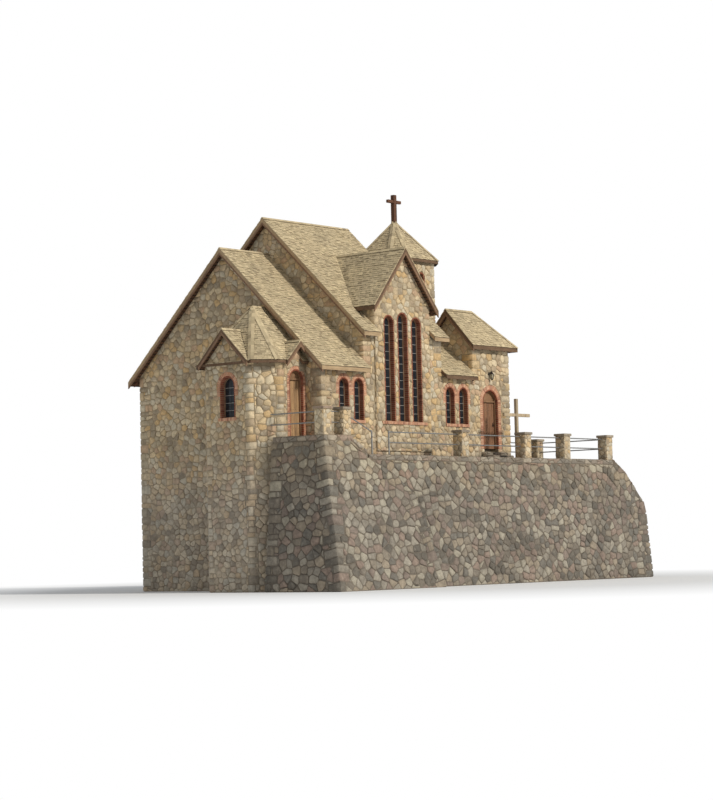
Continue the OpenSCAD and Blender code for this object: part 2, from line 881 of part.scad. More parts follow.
// The annex roof's upper faces as one body: two slopes and a hip, lowered by an even drop
module annex_roof_body(drop) {
    translate([0, 0, -drop]) intersection() {
        along_x(annex_x - annex_over, annex_end + annex_over) polygon([
            [-annex_over, annex_eave - annex_roof_t], [-annex_over, annex_eave],
            [annex_depth / 2, annex_ridge], [annex_depth + annex_over, annex_eave],
            [annex_depth + annex_over, annex_eave - annex_roof_t]
        ]);
        along_y(-annex_over, annex_depth + annex_over) polygon([
            [annex_x - annex_over, 0], [annex_x - annex_over, annex_ridge],
            [annex_ridge_end, annex_ridge], [annex_end + annex_over, annex_eave],
            [annex_end + annex_over, 0]
        ]);
    }
}

module annex_shell(x0, x1, y0, y1) {
    intersection() {
        box(x0, x1, y0, y1, -floor_t, annex_ridge);
        union() {
            annex_roof_body(annex_roof_t + seat);
            box(annex_x - 1, annex_end + 1, -1, annex_depth + 1, -floor_t,
                annex_eave - annex_roof_t - seat);
        }
    }
}

module annex_walls() {
    color(stone_colour) on_site() difference() {
        union() {
            annex_shell(annex_x, annex_x + annex_t, 0, annex_depth);
            annex_shell(annex_end - annex_t, annex_end, 0, annex_depth);
            annex_shell(annex_x, annex_end, annex_depth - annex_t, annex_depth);
            box(annex_x, annex_return_x, annex_t, tower_y, -floor_t,
                annex_eave - annex_roof_t - seat);
        }
        translate([0, 0, -floor_t - 1]) linear_extrude(tower_apex) tower_plan(0);
        arch_x(inner_door_y, 0, inner_door_w, inner_door_h, annex_x - 10, annex_x + annex_t + 10);
    }
}

module annex_door_piers() {
    color(stone_colour) on_site() {
        box(annex_x + annex_t, annex_door_x - annex_door_w / 2, 0, annex_t, -floor_t, annex_spring);
        box(annex_door_x + annex_door_w / 2, annex_end - annex_t, 0, annex_t, -floor_t, annex_spring);
    }
}

module annex_door_head() {
    color(stone_colour) on_site() difference() {
        annex_shell(annex_x + annex_t, annex_end - annex_t, 0, annex_t);
        box(-far_away, far_away, -far_away, far_away, -far_away, annex_spring);
        along_y(-10, annex_t + 10) translate([annex_door_x, annex_spring]) circle(r = annex_door_w / 2);
    }
}

module low_roof() {
    color(roof_colour) on_site() along_x(-low_len - verge_over, 0)
        polygon(chevron(nave_half, nave_half + eave_over, low_eave, low_top(nave_half), roof_t));
}

// The high roof is open to the cross gables and stops at their walls
module high_roof() {
    inner = gable_w / 2 - cheek_t;
    color(roof_colour) on_site() difference() {
        along_x(-verge_over, high_len + far_verge)
            polygon(chevron(nave_half, nave_half + eave_over, high_eave, high_ridge, roof_t));
        both_sides() {
            box(gable_x - gable_w / 2, gable_x + gable_w / 2, -far_away, wall_t, 0, far_away);
            along_y(wall_t - 1, nave_half) polygon([
                [gable_x - inner, 0], [gable_x + inner, 0],
                [gable_x + inner, gable_top(gable_x + inner) - roof_t],
                [gable_x, gable_ridge - roof_t],
                [gable_x - inner, gable_top(gable_x - inner) - roof_t]
            ]);
        }
        tower_core();
    }
}

module cross_gable_roofs() {
    color(roof_colour) on_site() both_sides() difference() {
        along_y(gable_front, nave_half) polygon(chevron(gable_x, gable_roof_half,
            gable_ridge - gable_roof_half * gable_slope, gable_ridge, roof_t));
        under_high_roof();
    }
}

// The porch roof: hipped over the chamfered end, and open to its two small gables
module porch_roof() {
    color(roof_colour) on_site() difference() {
        porch_roof_body(0);
        porch_roof_body(porch_roof_t);
        under_end_gable(0);
        under_door_gable(0);
    }
}

module porch_gable_roofs() {
    color(roof_colour) on_site() difference() {
        union() {
            along_x(porch_x - porch_gable_over, -low_len - porch_ridge_len) polygon(
                chevron(porch_y, end_gable_half, porch_eave, end_gable_ridge, porch_gable_t));
            intersection() {
                along_y(porch_set - porch_gable_over, porch_y) polygon(chevron(porch_door_x,
                    door_gable_half, porch_eave, door_gable_ridge, porch_gable_t));
                box(-far_away, door_gable_edge, -far_away, far_away, 0, far_away);
            }
        }
        porch_roof_body(0);
        porch_roof_body(-seat);
        under_porch_roof(0);
    }
}

module tower_roof() {
    color(roof_colour) on_site() difference() {
        tower_roof_body(0);
        tower_roof_body(tower_roof_t);
        intersection() {
            under_high_roof();
            box(-far_away, high_len + far_verge, -far_away, far_away, 0, far_away);
        }
    }
}

module link_roof() {
    color(roof_colour) on_site() difference() {
        along_x(high_len, annex_x) polygon([
            [-annex_over, link_eave - link_roof_t], [-annex_over, link_eave],
            [tower_y, link_top(tower_y)], [tower_y, link_top(tower_y) - link_roof_t]
        ]);
        linear_extrude(tower_apex) tower_plan(0);
    }
}

module annex_roof() {
    color(roof_colour) on_site() difference() {
        union() {
            difference() {
                annex_roof_body(0);
                annex_roof_body(annex_roof_t);
            }
            annex_return_roof();
        }
        linear_extrude(tower_apex) tower_plan(0);
        along_x(annex_x - annex_over - 1, annex_x) polygon([
            [-far_away, 0], [-far_away, link_top(-far_away) + seat],
            [tower_y, link_top(tower_y) + seat], [tower_y, 0]
        ]);
    }
}

// Barge boards hang below the verges, flush with the roofs' ends
module barge_x(x0, mid, half, eave, ridge, t) {
    along_x(x0, x0 + barge_t) polygon(chevron(mid, half, eave - t - seat, ridge - t - seat, barge_h));
}

module barge_y(y0, mid, half, eave, ridge, t) {
    along_y(y0, y0 + barge_t) polygon(chevron(mid, half, eave - t - seat, ridge - t - seat, barge_h));
}

module barge_boards() {
    nave_out = nave_half + eave_over;
    color(wood_colour) on_site() {
        barge_x(-low_len - verge_over, nave_half, nave_out, low_eave, low_top(nave_half), roof_t);
        barge_x(-verge_over, nave_half, nave_out, high_eave, high_ridge, roof_t);
        both_sides() difference() {
            barge_y(gable_front, gable_x, gable_roof_half,
                gable_ridge - gable_roof_half * gable_slope, gable_ridge, roof_t);
            translate([0, 0, seat]) under_high_roof();
        }
        difference() {
            barge_x(annex_x - annex_over, annex_depth / 2, annex_depth / 2 + annex_over, annex_eave,
                annex_ridge, annex_roof_t);
            linear_extrude(tower_apex) tower_plan(0);
            along_x(0, annex_x) polygon([
                [-far_away, 0], [-far_away, link_top(-far_away) + seat],
                [tower_y, link_top(tower_y) + seat], [tower_y, 0]
            ]);
        }
        difference() {
            barge_x(porch_x - porch_gable_over, porch_y, end_gable_half, porch_eave,
                end_gable_ridge, porch_gable_t);
            under_porch_roof(0);
        }
        difference() {
            barge_y(porch_set - porch_gable_over, porch_door_x, door_gable_half, porch_eave,
                door_gable_ridge, porch_gable_t);
            box(door_gable_edge, far_away, -far_away, far_away, 0, far_away);
            under_porch_roof(0);
        }
    }
}

// Brick sills under the windows
module sill(x0, x1, y) {
    box(x0, x1, y - sill_out, y, sill_z - sill_h, sill_z);
}

module brick_sills() {
    past = 60;
    win = porch_win_w / 2 + 2 * past;
    color(brick_colour) on_site() {
        both_sides() {
            sill(low_win_x[0] - small_w, low_win_x[1] + small_w / 2 + past, 0);
            sill(gable_x - lancet_step - lancet_w, gable_x + lancet_step + lancet_w, -gable_proud);
        }
        sill(link_win_x[0] - small_w / 2 - past, link_win_x[1] + small_w / 2 + past, 0);
        box(porch_x - sill_out, porch_x, porch_y - win, porch_y + win, sill_z, sill_z + sill_h);
    }
}

// A frame or a pane in a wall that looks along -Y, foot of its opening at the origin
module frame_ring(w, h) {
    along_y(reveal, reveal + frame_d) difference() {
        arch(w, h);
        translate([0, frame_w]) arch(w - 2 * frame_w, h - 2 * frame_w);
    }
}

module pane(w, h) {
    along_y(reveal + frame_d / 2 - glass_t / 2, reveal + frame_d / 2 + glass_t / 2)
        translate([0, frame_w]) arch(w - 2 * frame_w, h - 2 * frame_w);
}

module glazing(part) {
    both_sides() {
        for (x = low_win_x)
            translate([x, 0, sill_z]) glaze(part, small_w, small_head - sill_z);
        for (i = [0:2])
            translate([gable_x + (i - 1) * lancet_step, -gable_proud, sill_z])
                glaze(part, lancet_w, lancet_h[i]);
    }
    for (x = link_win_x)
        translate([x, 0, sill_z]) glaze(part, small_w, link_win_h);
    translate([porch_x, porch_y, porch_win_foot]) rotate([0, 0, -90])
        glaze(part, porch_win_w, porch_win_head - porch_win_foot);
    for (turn = [0, 90, 180])
        translate([tower_x, tower_y, tower_win_foot]) rotate([0, 0, turn])
            translate([0, -tower_w / 2, 0]) glaze(part, tower_win_w, tower_win_head - tower_win_foot);
}

module glaze(part, w, h) {
    if (part == "frame") frame_ring(w, h);
    if (part == "glass") pane(w, h);
}

module window_frames() {
    color(wood_colour) on_site() glazing("frame");
}

module window_glass() {
    color(glass_colour) on_site() glazing("glass");
}

// The fixed frame of a door, foot of its opening at the origin: stops in front of the leaf,
// a bar on the spring line and an arched panel over it
module door_frame(w, spring) {
    h = spring + w / 2;
    along_y(leaf_set - stop_d, leaf_set - stop_gap) difference() {
        arch(w, h);
        translate([0, -stop_w]) arch(w - 2 * stop_w, h);
    }
    along_y(leaf_set - stop_d, leaf_set + leaf_t) difference() {
        intersection() {
            arch(w, h);
            translate([-w / 2, spring]) square([w, h]);
        }
        intersection() {
            translate([0, -stop_w]) arch(w - 2 * stop_w, h);
            translate([-w / 2, spring + transom_h]) square([w, h]);
        }
    }
    along_y(leaf_set, leaf_set + glass_t) intersection() {
        translate([0, -stop_w]) arch(w - 2 * stop_w, h);
        translate([-w / 2, spring + transom_h]) square([w, h]);
    }
}

module door_frames() {
    color(door_colour) on_site() {
        translate([porch_door_x, porch_set, platform_z]) door_frame(porch_door_w, porch_leaf_h);
        translate([annex_door_x, 0, 0]) door_frame(annex_door_w, annex_leaf_h);
    }
}

// What hangs in a doorway is drawn from its hinge-side jamb, with the threshold at z = 0
module at_porch_door() {
    translate([porch_door_x + porch_door_w / 2, porch_set, platform_z]) mirror([1, 0, 0]) children();
}

module at_annex_door() {
    translate([annex_door_x - annex_door_w / 2, 0, 0]) children();
}

module at_hinges(h) {
    for (z = [hinge_low, h - hinge_high])
        translate([pin_off_x, leaf_set + leaf_t + pin_off_y, z]) children();
}

// A pin on its bracket, with the pin's middle at the origin and the knuckle's foot at z = 0
module pintle() {
    translate([0, 0, -bracket_h - bracket_gap]) {
        cylinder(r = pin_r, h = bracket_h + bracket_gap + knuckle_h + pin_above);
        cylinder(r = bracket_r, h = bracket_h);
        translate([-pin_off_x, -bracket_r, 0]) cube([pin_off_x, 2 * bracket_r, bracket_h]);
    }
}

// A strap on the leaf's inner face, with its knuckle round the pin
module strap(w) {
    difference() {
        union() {
            translate([0, -pin_off_y, (knuckle_h - strap_h) / 2])
                cube([strap_share * w, strap_t, strap_h]);
            cylinder(r = knuckle_r, h = knuckle_h);
        }
        translate([0, 0, -1]) cylinder(r = pin_r + pin_gap, h = knuckle_h + 2);
    }
}

module leaf(w, h) {
    box(leaf_gap, w - leaf_gap, leaf_set, leaf_set + leaf_t, leaf_gap, h - leaf_gap);
}

module door_pintles() {
    color(iron_colour) on_site() {
        at_porch_door() at_hinges(porch_leaf_h) pintle();
        at_annex_door() at_hinges(annex_leaf_h) pintle();
    }
}

module porch_door() {
    color(door_colour) on_site() at_porch_door() leaf(porch_door_w, porch_leaf_h);
}

module porch_door_straps() {
    color(iron_colour) on_site() at_porch_door() at_hinges(porch_leaf_h) strap(porch_door_w);
}

module annex_door() {
    color(door_colour) on_site() at_annex_door() leaf(annex_door_w, annex_leaf_h);
}

module annex_door_straps() {
    color(iron_colour) on_site() at_annex_door() at_hinges(annex_leaf_h) strap(annex_door_w);
}

// Rail pillars: [x, y, paving height] of each one's middle
pillar_in = pillar_w / 2;
platform_pillars = [
    [platform_x + pillar_in, -platform_out + pillar_in, platform_z],
    [stair_x - pillar_in, -platform_out + pillar_in, platform_z]
];
yard_pillar_x = annex_end - 1280;
near_bay = 4180;
far_bay = 2770;
terrace_pillars = [
    [yard_pillar_x - near_bay, -terrace_out + pillar_in, terrace_z],
    [yard_pillar_x, -terrace_out + pillar_in, terrace_z],
    [yard_pillar_x + far_bay, -terrace_out + pillar_in, terrace_z],
    [terrace_end - pillar_in, -terrace_out + pillar_in, terrace_z],
    [terrace_end - pillar_in, annex_depth - pillar_in, terrace_z]
];

module pillar() {
    translate([-pillar_in, -pillar_in, 0]) cube([pillar_w, pillar_w, pillar_h]);
    translate([-pillar_in - cap_over, -pillar_in - cap_over, pillar_h])
        cube([pillar_w + 2 * cap_over, pillar_w + 2 * cap_over, cap_h]);
}

module rail_pillars() {
    color(rubble_colour) on_site() {
        for (p = platform_pillars) translate(p) pillar();
        for (p = terrace_pillars) translate(p) pillar();
    }
}

// A pipe between two points
module pipe(a, b) {
    d = b - a;
    flat = norm([d[0], d[1]]);
    translate(a) rotate([0, 90 - atan2(d[2], flat), atan2(d[1], d[0])])
        cylinder(r = rail_r, h = norm(d));
}

// A thin post that a rail runs into
module rail_post(at, h) {
    translate(at) cylinder(r = rail_r + 6, h = h);
}

// Two rails between the faces of two posts
module rail_pair(a, b) {
    for (k = [0, 1]) pipe(a + [0, 0, rail_h - k * rail_step], b + [0, 0, rail_h - k * rail_step]);
}

module pipe_rails() {
    p = platform_pillars;
    t = terrace_pillars;
    edge = [pillar_in, 0, 0];
    side = [0, pillar_in, 0];
    post_h = rail_h + 2 * rail_r;
    gate_w = 900;
    landing = 250;
    stair_foot = [stair_end + stair_going + landing, -platform_out + pillar_in, terrace_z];
    rail_start = [stair_foot[0] + gate_w, t[0][1], terrace_z];
    porch_corner = [p[0][0], porch_set + porch_chamfer - platform_in, platform_z];
    color(pipe_colour) on_site() {
        difference() {
            rail_pair(porch_corner, p[0] + side);
            translate([0, 0, platform_z]) linear_extrude(post_h) porch_plan(0);
        }
        rail_pair(p[0] + edge, p[1] - edge);
        difference() {
            pipe(p[1] + [0, 0, rail_h], stair_foot + [0, 0, rail_h]);
            translate(p[1]) pillar();
        }
        rail_post(stair_foot, post_h);
        for (i = [0:2]) rail_pair(t[i] + edge, t[i + 1] - edge);
        rail_pair(t[3] + side, t[4] - side);
        rail_pair(rail_start, t[0] - edge);
        rail_post(rail_start, post_h);
        rail_pair([annex_end, annex_depth - pillar_in, terrace_z], t[4] - edge);
    }
}

module tower_cross() {
    arm_h = 130;
    arm_d = 0.7 * cross_w;
    arm_z = tower_apex + 0.69 * cross_h;
    foot_in = 400;
    color(wood_colour) on_site() difference() {
        translate([tower_x, tower_y, 0]) {
            box(-cross_w / 2, cross_w / 2, -cross_w / 2, cross_w / 2, tower_apex - foot_in,
                tower_apex + cross_h);
            box(-cross_arm / 2, cross_arm / 2, -arm_d / 2, arm_d / 2, arm_z, arm_z + arm_h);
        }
        tower_roof_body(-seat);
    }
}

module yard_cross() {
    post = 130;
    arm_z = 0.7 * yard_cross_h;
    x = terrace_pillars[1][0];
    y = terrace_pillars[1][1] + pillar_in + cap_over + post / 2;
    color([0.72, 0.66, 0.55]) on_site() translate([x, y, terrace_z]) {
        box(-post / 2, post / 2, -post / 2, post / 2, 0, yard_cross_h);
        box(-yard_cross_arm / 2, yard_cross_arm / 2, -post / 2, post / 2, arm_z, arm_z + post);
    }
}

module wall_lantern() {
    color(iron_colour) on_site() translate([annex_door_x - 40, 0, annex_spring + 900]) {
        box(-60, 60, -20, 0, 60, 340);
        box(-15, 15, -160, -10, 300, 330);
        translate([0, -170, 0]) cylinder(r = 85, h = 330, $fn = 6);
        translate([0, -170, 330]) cylinder(r = 30, h = 50, $fn = 6);
    }
}

nave_base();
porch_base();
annex_base();
bastion();
terrace_front_wall();
terrace_end_wall();
inner_floors();
outer_paving();
outer_steps();
low_end_wall();
low_side_walls();
crossing_wall();
high_front_wall();
high_back_wall();
far_gable_wall();
gable_cheeks();
porch_walls();
porch_door_piers();
porch_door_head();
tower_walls();
tower_door_piers();
link_front_wall();
annex_walls();
annex_door_piers();
annex_door_head();
low_roof();
high_roof();
cross_gable_roofs();
porch_roof();
porch_gable_roofs();
tower_roof();
link_roof();
annex_roof();
barge_boards();
brick_sills();
window_frames();
window_glass();
door_frames();
door_pintles();
porch_door();
porch_door_straps();
annex_door();
annex_door_straps();
rail_pillars();
pipe_rails();
tower_cross();
yard_cross();
wall_lantern();
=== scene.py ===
"""Looks of a small stone chapel: fieldstone, brick, shingles, planks and ironwork on its frame."""

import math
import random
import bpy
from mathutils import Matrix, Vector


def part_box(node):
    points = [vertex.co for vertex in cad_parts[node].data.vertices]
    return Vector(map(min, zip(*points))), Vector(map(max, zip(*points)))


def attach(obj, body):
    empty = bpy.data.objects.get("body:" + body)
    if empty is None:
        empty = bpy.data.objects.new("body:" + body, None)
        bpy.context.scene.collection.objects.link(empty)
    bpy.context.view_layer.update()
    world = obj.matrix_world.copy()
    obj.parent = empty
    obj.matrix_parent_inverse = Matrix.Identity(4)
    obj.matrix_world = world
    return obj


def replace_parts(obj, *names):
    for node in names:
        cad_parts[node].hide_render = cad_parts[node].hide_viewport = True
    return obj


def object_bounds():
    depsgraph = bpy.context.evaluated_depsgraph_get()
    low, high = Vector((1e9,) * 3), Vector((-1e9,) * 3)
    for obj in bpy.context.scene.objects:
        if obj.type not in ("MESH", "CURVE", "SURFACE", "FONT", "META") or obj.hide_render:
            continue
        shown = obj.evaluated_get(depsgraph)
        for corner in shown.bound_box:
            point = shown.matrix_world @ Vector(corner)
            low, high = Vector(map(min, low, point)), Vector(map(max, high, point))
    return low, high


bl_info = {
    "name": "Small Chapel",
    "version": (1, 0, 0),
    "blender": (4, 5, 0),
    "location": "View3D > Sidebar > Chapel",
    "description": "Lays the stones, bricks, shingles and boards of a small chapel",
    "category": "Add Mesh",
}

from collections import namedtuple
from itertools import product

import bpy
import numpy as np
from mathutils import Matrix, Vector, geometry
from mathutils.bvhtree import BVHTree

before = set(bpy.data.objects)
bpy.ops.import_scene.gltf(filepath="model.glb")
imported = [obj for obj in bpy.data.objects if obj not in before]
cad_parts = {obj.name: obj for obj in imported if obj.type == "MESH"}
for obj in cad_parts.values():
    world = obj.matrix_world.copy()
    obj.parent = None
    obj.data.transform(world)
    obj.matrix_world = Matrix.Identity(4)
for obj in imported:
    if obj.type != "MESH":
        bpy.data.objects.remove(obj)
CAD_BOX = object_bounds()

UP = Vector((0, 0, 1))
WALLS = (
    "low_end_wall", "low_side_walls", "crossing_wall", "high_front_wall", "high_back_wall",
    "far_gable_wall", "gable_cheeks", "porch_walls", "porch_door_piers", "porch_door_head",
    "tower_walls", "tower_door_piers", "link_front_wall", "annex_walls", "annex_door_piers",
    "annex_door_head", "nave_base", "porch_base", "annex_base",
)
BASES = ("bastion", "terrace_front_wall", "terrace_end_wall")
DECKS = ("low_roof", "high_roof")
SMALL_DECKS = (
    "cross_gable_roofs", "porch_roof", "porch_gable_roofs", "tower_roof", "link_roof", "annex_roof",
)
ROOFS = DECKS + SMALL_DECKS
PAVED = ("outer_paving", "outer_steps")

# Lengths in metres
SKIN = 0.004  # off a plane within which a spot counts as on it, and at which rays start
SUNK = 0.008  # depth of a stone's foot in its wall
STRIP = 0.15  # below which a face is only the edge of a wall
CLEAR, SKY = 0.09, 80.0  # air before a stone, and how far away the sky begins
SLIM, LANCET = 0.4, 3.0  # windows narrower or taller than these have no brick arch
ARCH_FOOT = 0.34  # how far below its spring a window's brick arch starts
SLAB_LONG, SLAB_WIDE = 0.62, 0.5
PROUD, BEHIND = 0.012, 0.007  # a brick lining before its wall and off the frame behind it
SHINGLE_THICK, SHINGLE_LIFT = 0.020, 0.010
CAP_LONG, CAP_WIDE, CAP_LIFT = 0.215, 0.125, 0.034
RAFTER, RAFTER_IN, RAFTER_PITCH = (0.07, 0.24, 0.075), 0.16, 0.55
BAR_PITCH, BAR_HALF, BAR_BACK = 0.34, 0.009, 0.012
LEAD_PITCH, LEAD_ROW, LEAD_WIDE, LEAD_DEEP, LEAD_BACK = 0.16, 0.21, 0.005, 0.004, 0.026
PLANK, PLANK_GAP, EASED = 0.15, 0.0015, 0.005
LEDGE_LOW, LEDGE_HIGH, LEDGE_HALF, LEDGE_THICK = 0.38, 0.30, 0.06, 0.022
HANDLE_IN, HANDLE_UP = 0.085, 1.0
ARM_TALL = 0.130

ARCH_STEPS = 14
NEAREST = 22  # seeds that may cut a stone's cell

# Ways to the sky from a face: aside and up for each unit outwards
SKY_WAYS = (
    (0, 0.05), (0, 0.35), (0, 1.2), (0.7, 0.05), (-0.7, 0.05), (0.8, 0.5), (-0.8, 0.5),
    (1.6, 0.3), (-1.6, 0.3),
)
# The lantern's foot and hood: heights, and reaches from its axis
LANTERN_FOOT = ((0.004, 0.012), (0.016, 0.038), (0.05, 0.052), (0.058, 0.066), (0.072, 0.066))
LANTERN_HOOD = ((-0.085, 0.084), (-0.07, 0.084), (-0.02, 0.052), (0.02, 0.024), (0.048, 0.012))


# Flat faces of the frame


def sides(loop):
    """Each corner of a loop with the next one."""
    return zip(loop, loop[1:] + loop[:1])


def turns(loop):
    """Each corner of a loop with the ones before and after it."""
    return zip(loop[-1:] + loop[:-1], loop, loop[1:] + loop[:1])


def signed_area(loop):
    return sum(x0 * y1 - x1 * y0 for (x0, y0), (x1, y1) in sides(loop)) / 2


def centre(poly):
    return sum(p[0] for p in poly) / len(poly), sum(p[1] for p in poly) / len(poly)


def inside_loops(points, loops):
    """Which of some points lie inside the loops, by crossing count."""
    xs, ys = points[:, 0], points[:, 1]
    crossed = np.zeros(len(points), bool)
    for loop in loops:
        for (x0, y0), (x1, y1) in sides(loop):
            if y0 != y1:
                hit = (y0 > ys) != (y1 > ys)
                crossed ^= hit & (xs < (x1 - x0) * (ys - y0) / (y1 - y0) + x0)
    return crossed


def node_triangles(node):
    """Corners of a node's triangles as an array of n x 3 x 3."""
    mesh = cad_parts[node].data
    mesh.calc_loop_triangles()
    spots = np.array([v.co for v in mesh.vertices])
    return spots[np.array([t.vertices for t in mesh.loop_triangles])]


def solid_boxes(node):
    """Lowest and highest corner of each separate solid of a node, in a settled order."""
    solids = []
    for tri in node_triangles(node).round(4):
        mine = {tuple(p) for p in tri}
        joined = [solid for solid in solids if solid & mine]
        solids = [solid for solid in solids if not solid & mine] + [mine.union(*joined)]
    boxes = []
    for solid in solids:
        axes = list(zip(*solid))
        boxes.append((Vector([min(axis) for axis in axes]), Vector([max(axis) for axis in axes])))
    return sorted(boxes, key=lambda box: tuple(round(c, 3) for c in box[0]))


class FlatFace:
    """A flat face of the frame with its own (u, v) axes, seen from outside."""

    def __init__(self, out, offset, loops=()):
        self.out = out
        self.offset = offset
        self.loops = list(loops)
        level = Vector((-out.y, out.x, 0))
        self.u = level.normalized() if level.length > 0.01 else Vector((1, 0, 0))
        self.v = out.cross(self.u)
        self.tris = []
        self.taken = []

    def flat(self, p):
        return (self.u.dot(p), self.v.dot(p))

    def spot(self, u, v, lift=0.0):
        return self.u * u + self.v * v + self.out * (self.offset + lift)

    def level_with(self, p, slack=SKIN):
        return abs(self.out.dot(p) - self.offset) < slack

    def holds(self, p):
        return bool(inside_loops(np.array([self.flat(p)]), self.loops)[0])

    def box(self):
        """Lowest and highest (u, v)."""
        xs, ys = zip(*(p for loop in self.loops for p in loop))
        return (min(xs), min(ys)), (max(xs), max(ys))

    def narrow(self):
        low, high = self.box()
        return min(high[0] - low[0], high[1] - low[1])

    def edges(self, shortest):
        """Ends, length, direction and way inwards of each long edge."""
        for loop in self.loops:
            for start, end in sides(loop):
                a, b = self.spot(*start), self.spot(*end)
                long = (b - a).length
                if long >= shortest:
                    along = (b - a) / long
                    yield loop, a, b, long, along, self.out.cross(along)


def chain(edges):
    """Closed loops from directed edges."""
    following = {}
    for a, b in edges:
        following.setdefault(a, []).append(b)
    loops = []
    while following:
        loop = [next(iter(following))]
        while loop[-1] in following:
            here = loop[-1]
            there = following[here].pop()
            if not following[here]:
                del following[here]
            if there == loop[0]:
                break
            loop.append(there)
        if len(loop) > 2:
            loops.append(loop)
    return loops


def rim(verts, tris):
    """Outline loops, as points, of triangles that share vertices."""
    edges = set()
    for tri in tris:
        for a, b in sides(tuple(tri)):
            if (b, a) in edges:
                edges.remove((b, a))
            else:
                edges.add((a, b))
    return [[tuple(verts[i]) for i in loop] for loop in chain(sorted(edges))]


def drop_straight(loop):
    """The loop without points that lie on a straight run or on each other."""
    kept = []
    for (x0, y0), (x1, y1), (x2, y2) in turns(loop):
        run = math.hypot(x2 - x0, y2 - y0)
        off = abs((x1 - x0) * (y2 - y0) - (x2 - x0) * (y1 - y0)) / max(run, 1e-9)
        if math.hypot(x1 - x0, y1 - y0) >= 1e-5 and off > 0.0003:
            kept.append((x1, y1))
    return kept


def join_outlines(tris):
    """Outline loops of a union of flat triangles."""
    verts = [Vector(p) for tri in tris for p in tri]
    faces = [(i, i + 1, i + 2) for i in range(0, len(verts), 3)]
    made = geometry.delaunay_2d_cdt(verts, [], faces, 1, 0.0008, True)
    inside = [tri for tri, ids in zip(made[2], made[5]) if ids]
    loops = [drop_straight(loop) for loop in rim(made[0], inside)]
    return [loop for loop in loops if len(loop) > 2 and abs(signed_area(loop)) > 1e-4]


def gather_faces(nodes, wanted):
    """Flat faces of some nodes, joined where they lie in one plane."""
    faces = []
    for tri in (tri for node in nodes for tri in node_triangles(node)):
        a, b, c = (Vector(p) for p in tri)
        cross = (b - a).cross(c - a)
        if cross.length < 1e-6 or not wanted(cross.normalized()):
            continue
        out = cross.normalized()
        for face in faces:
            if face.out.dot(out) > 0.99995 and face.level_with(a) and face.level_with(b):
                break
        else:
            face = FlatFace(out, out.dot(a))
            faces.append(face)
        face.tris.append([face.flat(p) for p in (a, b, c)])
    for face in faces:
        face.loops = join_outlines(face.tris)
    return [face for face in faces if face.loops]


def separate_parts(faces):
    """The parts of flat faces that lie apart in one plane, as faces of their own."""
    parts = []
    for face in faces:
        holes = [loop for loop in face.loops if signed_area(loop) <= 0]
        for outer in face.loops:
            if signed_area(outer) > 0:
                mine = [hole for hole in holes if inside_loops(np.array([hole[0]]), [outer])[0]]
                parts.append(FlatFace(face.out, face.offset, [outer, *mine]))
    return parts


Corner = namedtuple("Corner", "a b foot along long into_a into_b")


def outside_corners(faces):
    """Every upright edge at which two faces fall away from each other."""
    corners = []
    for i, a in enumerate(faces):
        for _, foot, top, long, along, into_a in a.edges(0.35):
            if abs(along.z) < 0.8:
                continue
            if along.z < 0:
                foot, top, along = top, foot, -along
            middle = (foot + top) / 2
            for b in faces[i + 1:]:
                if not b.level_with(middle) or a.out.dot(b.out) > 0.985:
                    continue
                into_b = b.out.cross(along)
                if not b.holds(middle + into_b * 0.05):
                    into_b = -into_b
                if b.holds(middle + into_b * 0.05) and into_a.dot(b.out) <= -0.03:
                    corners.append(Corner(a, b, foot, along, long, into_a, into_b))
    return corners


# Openings


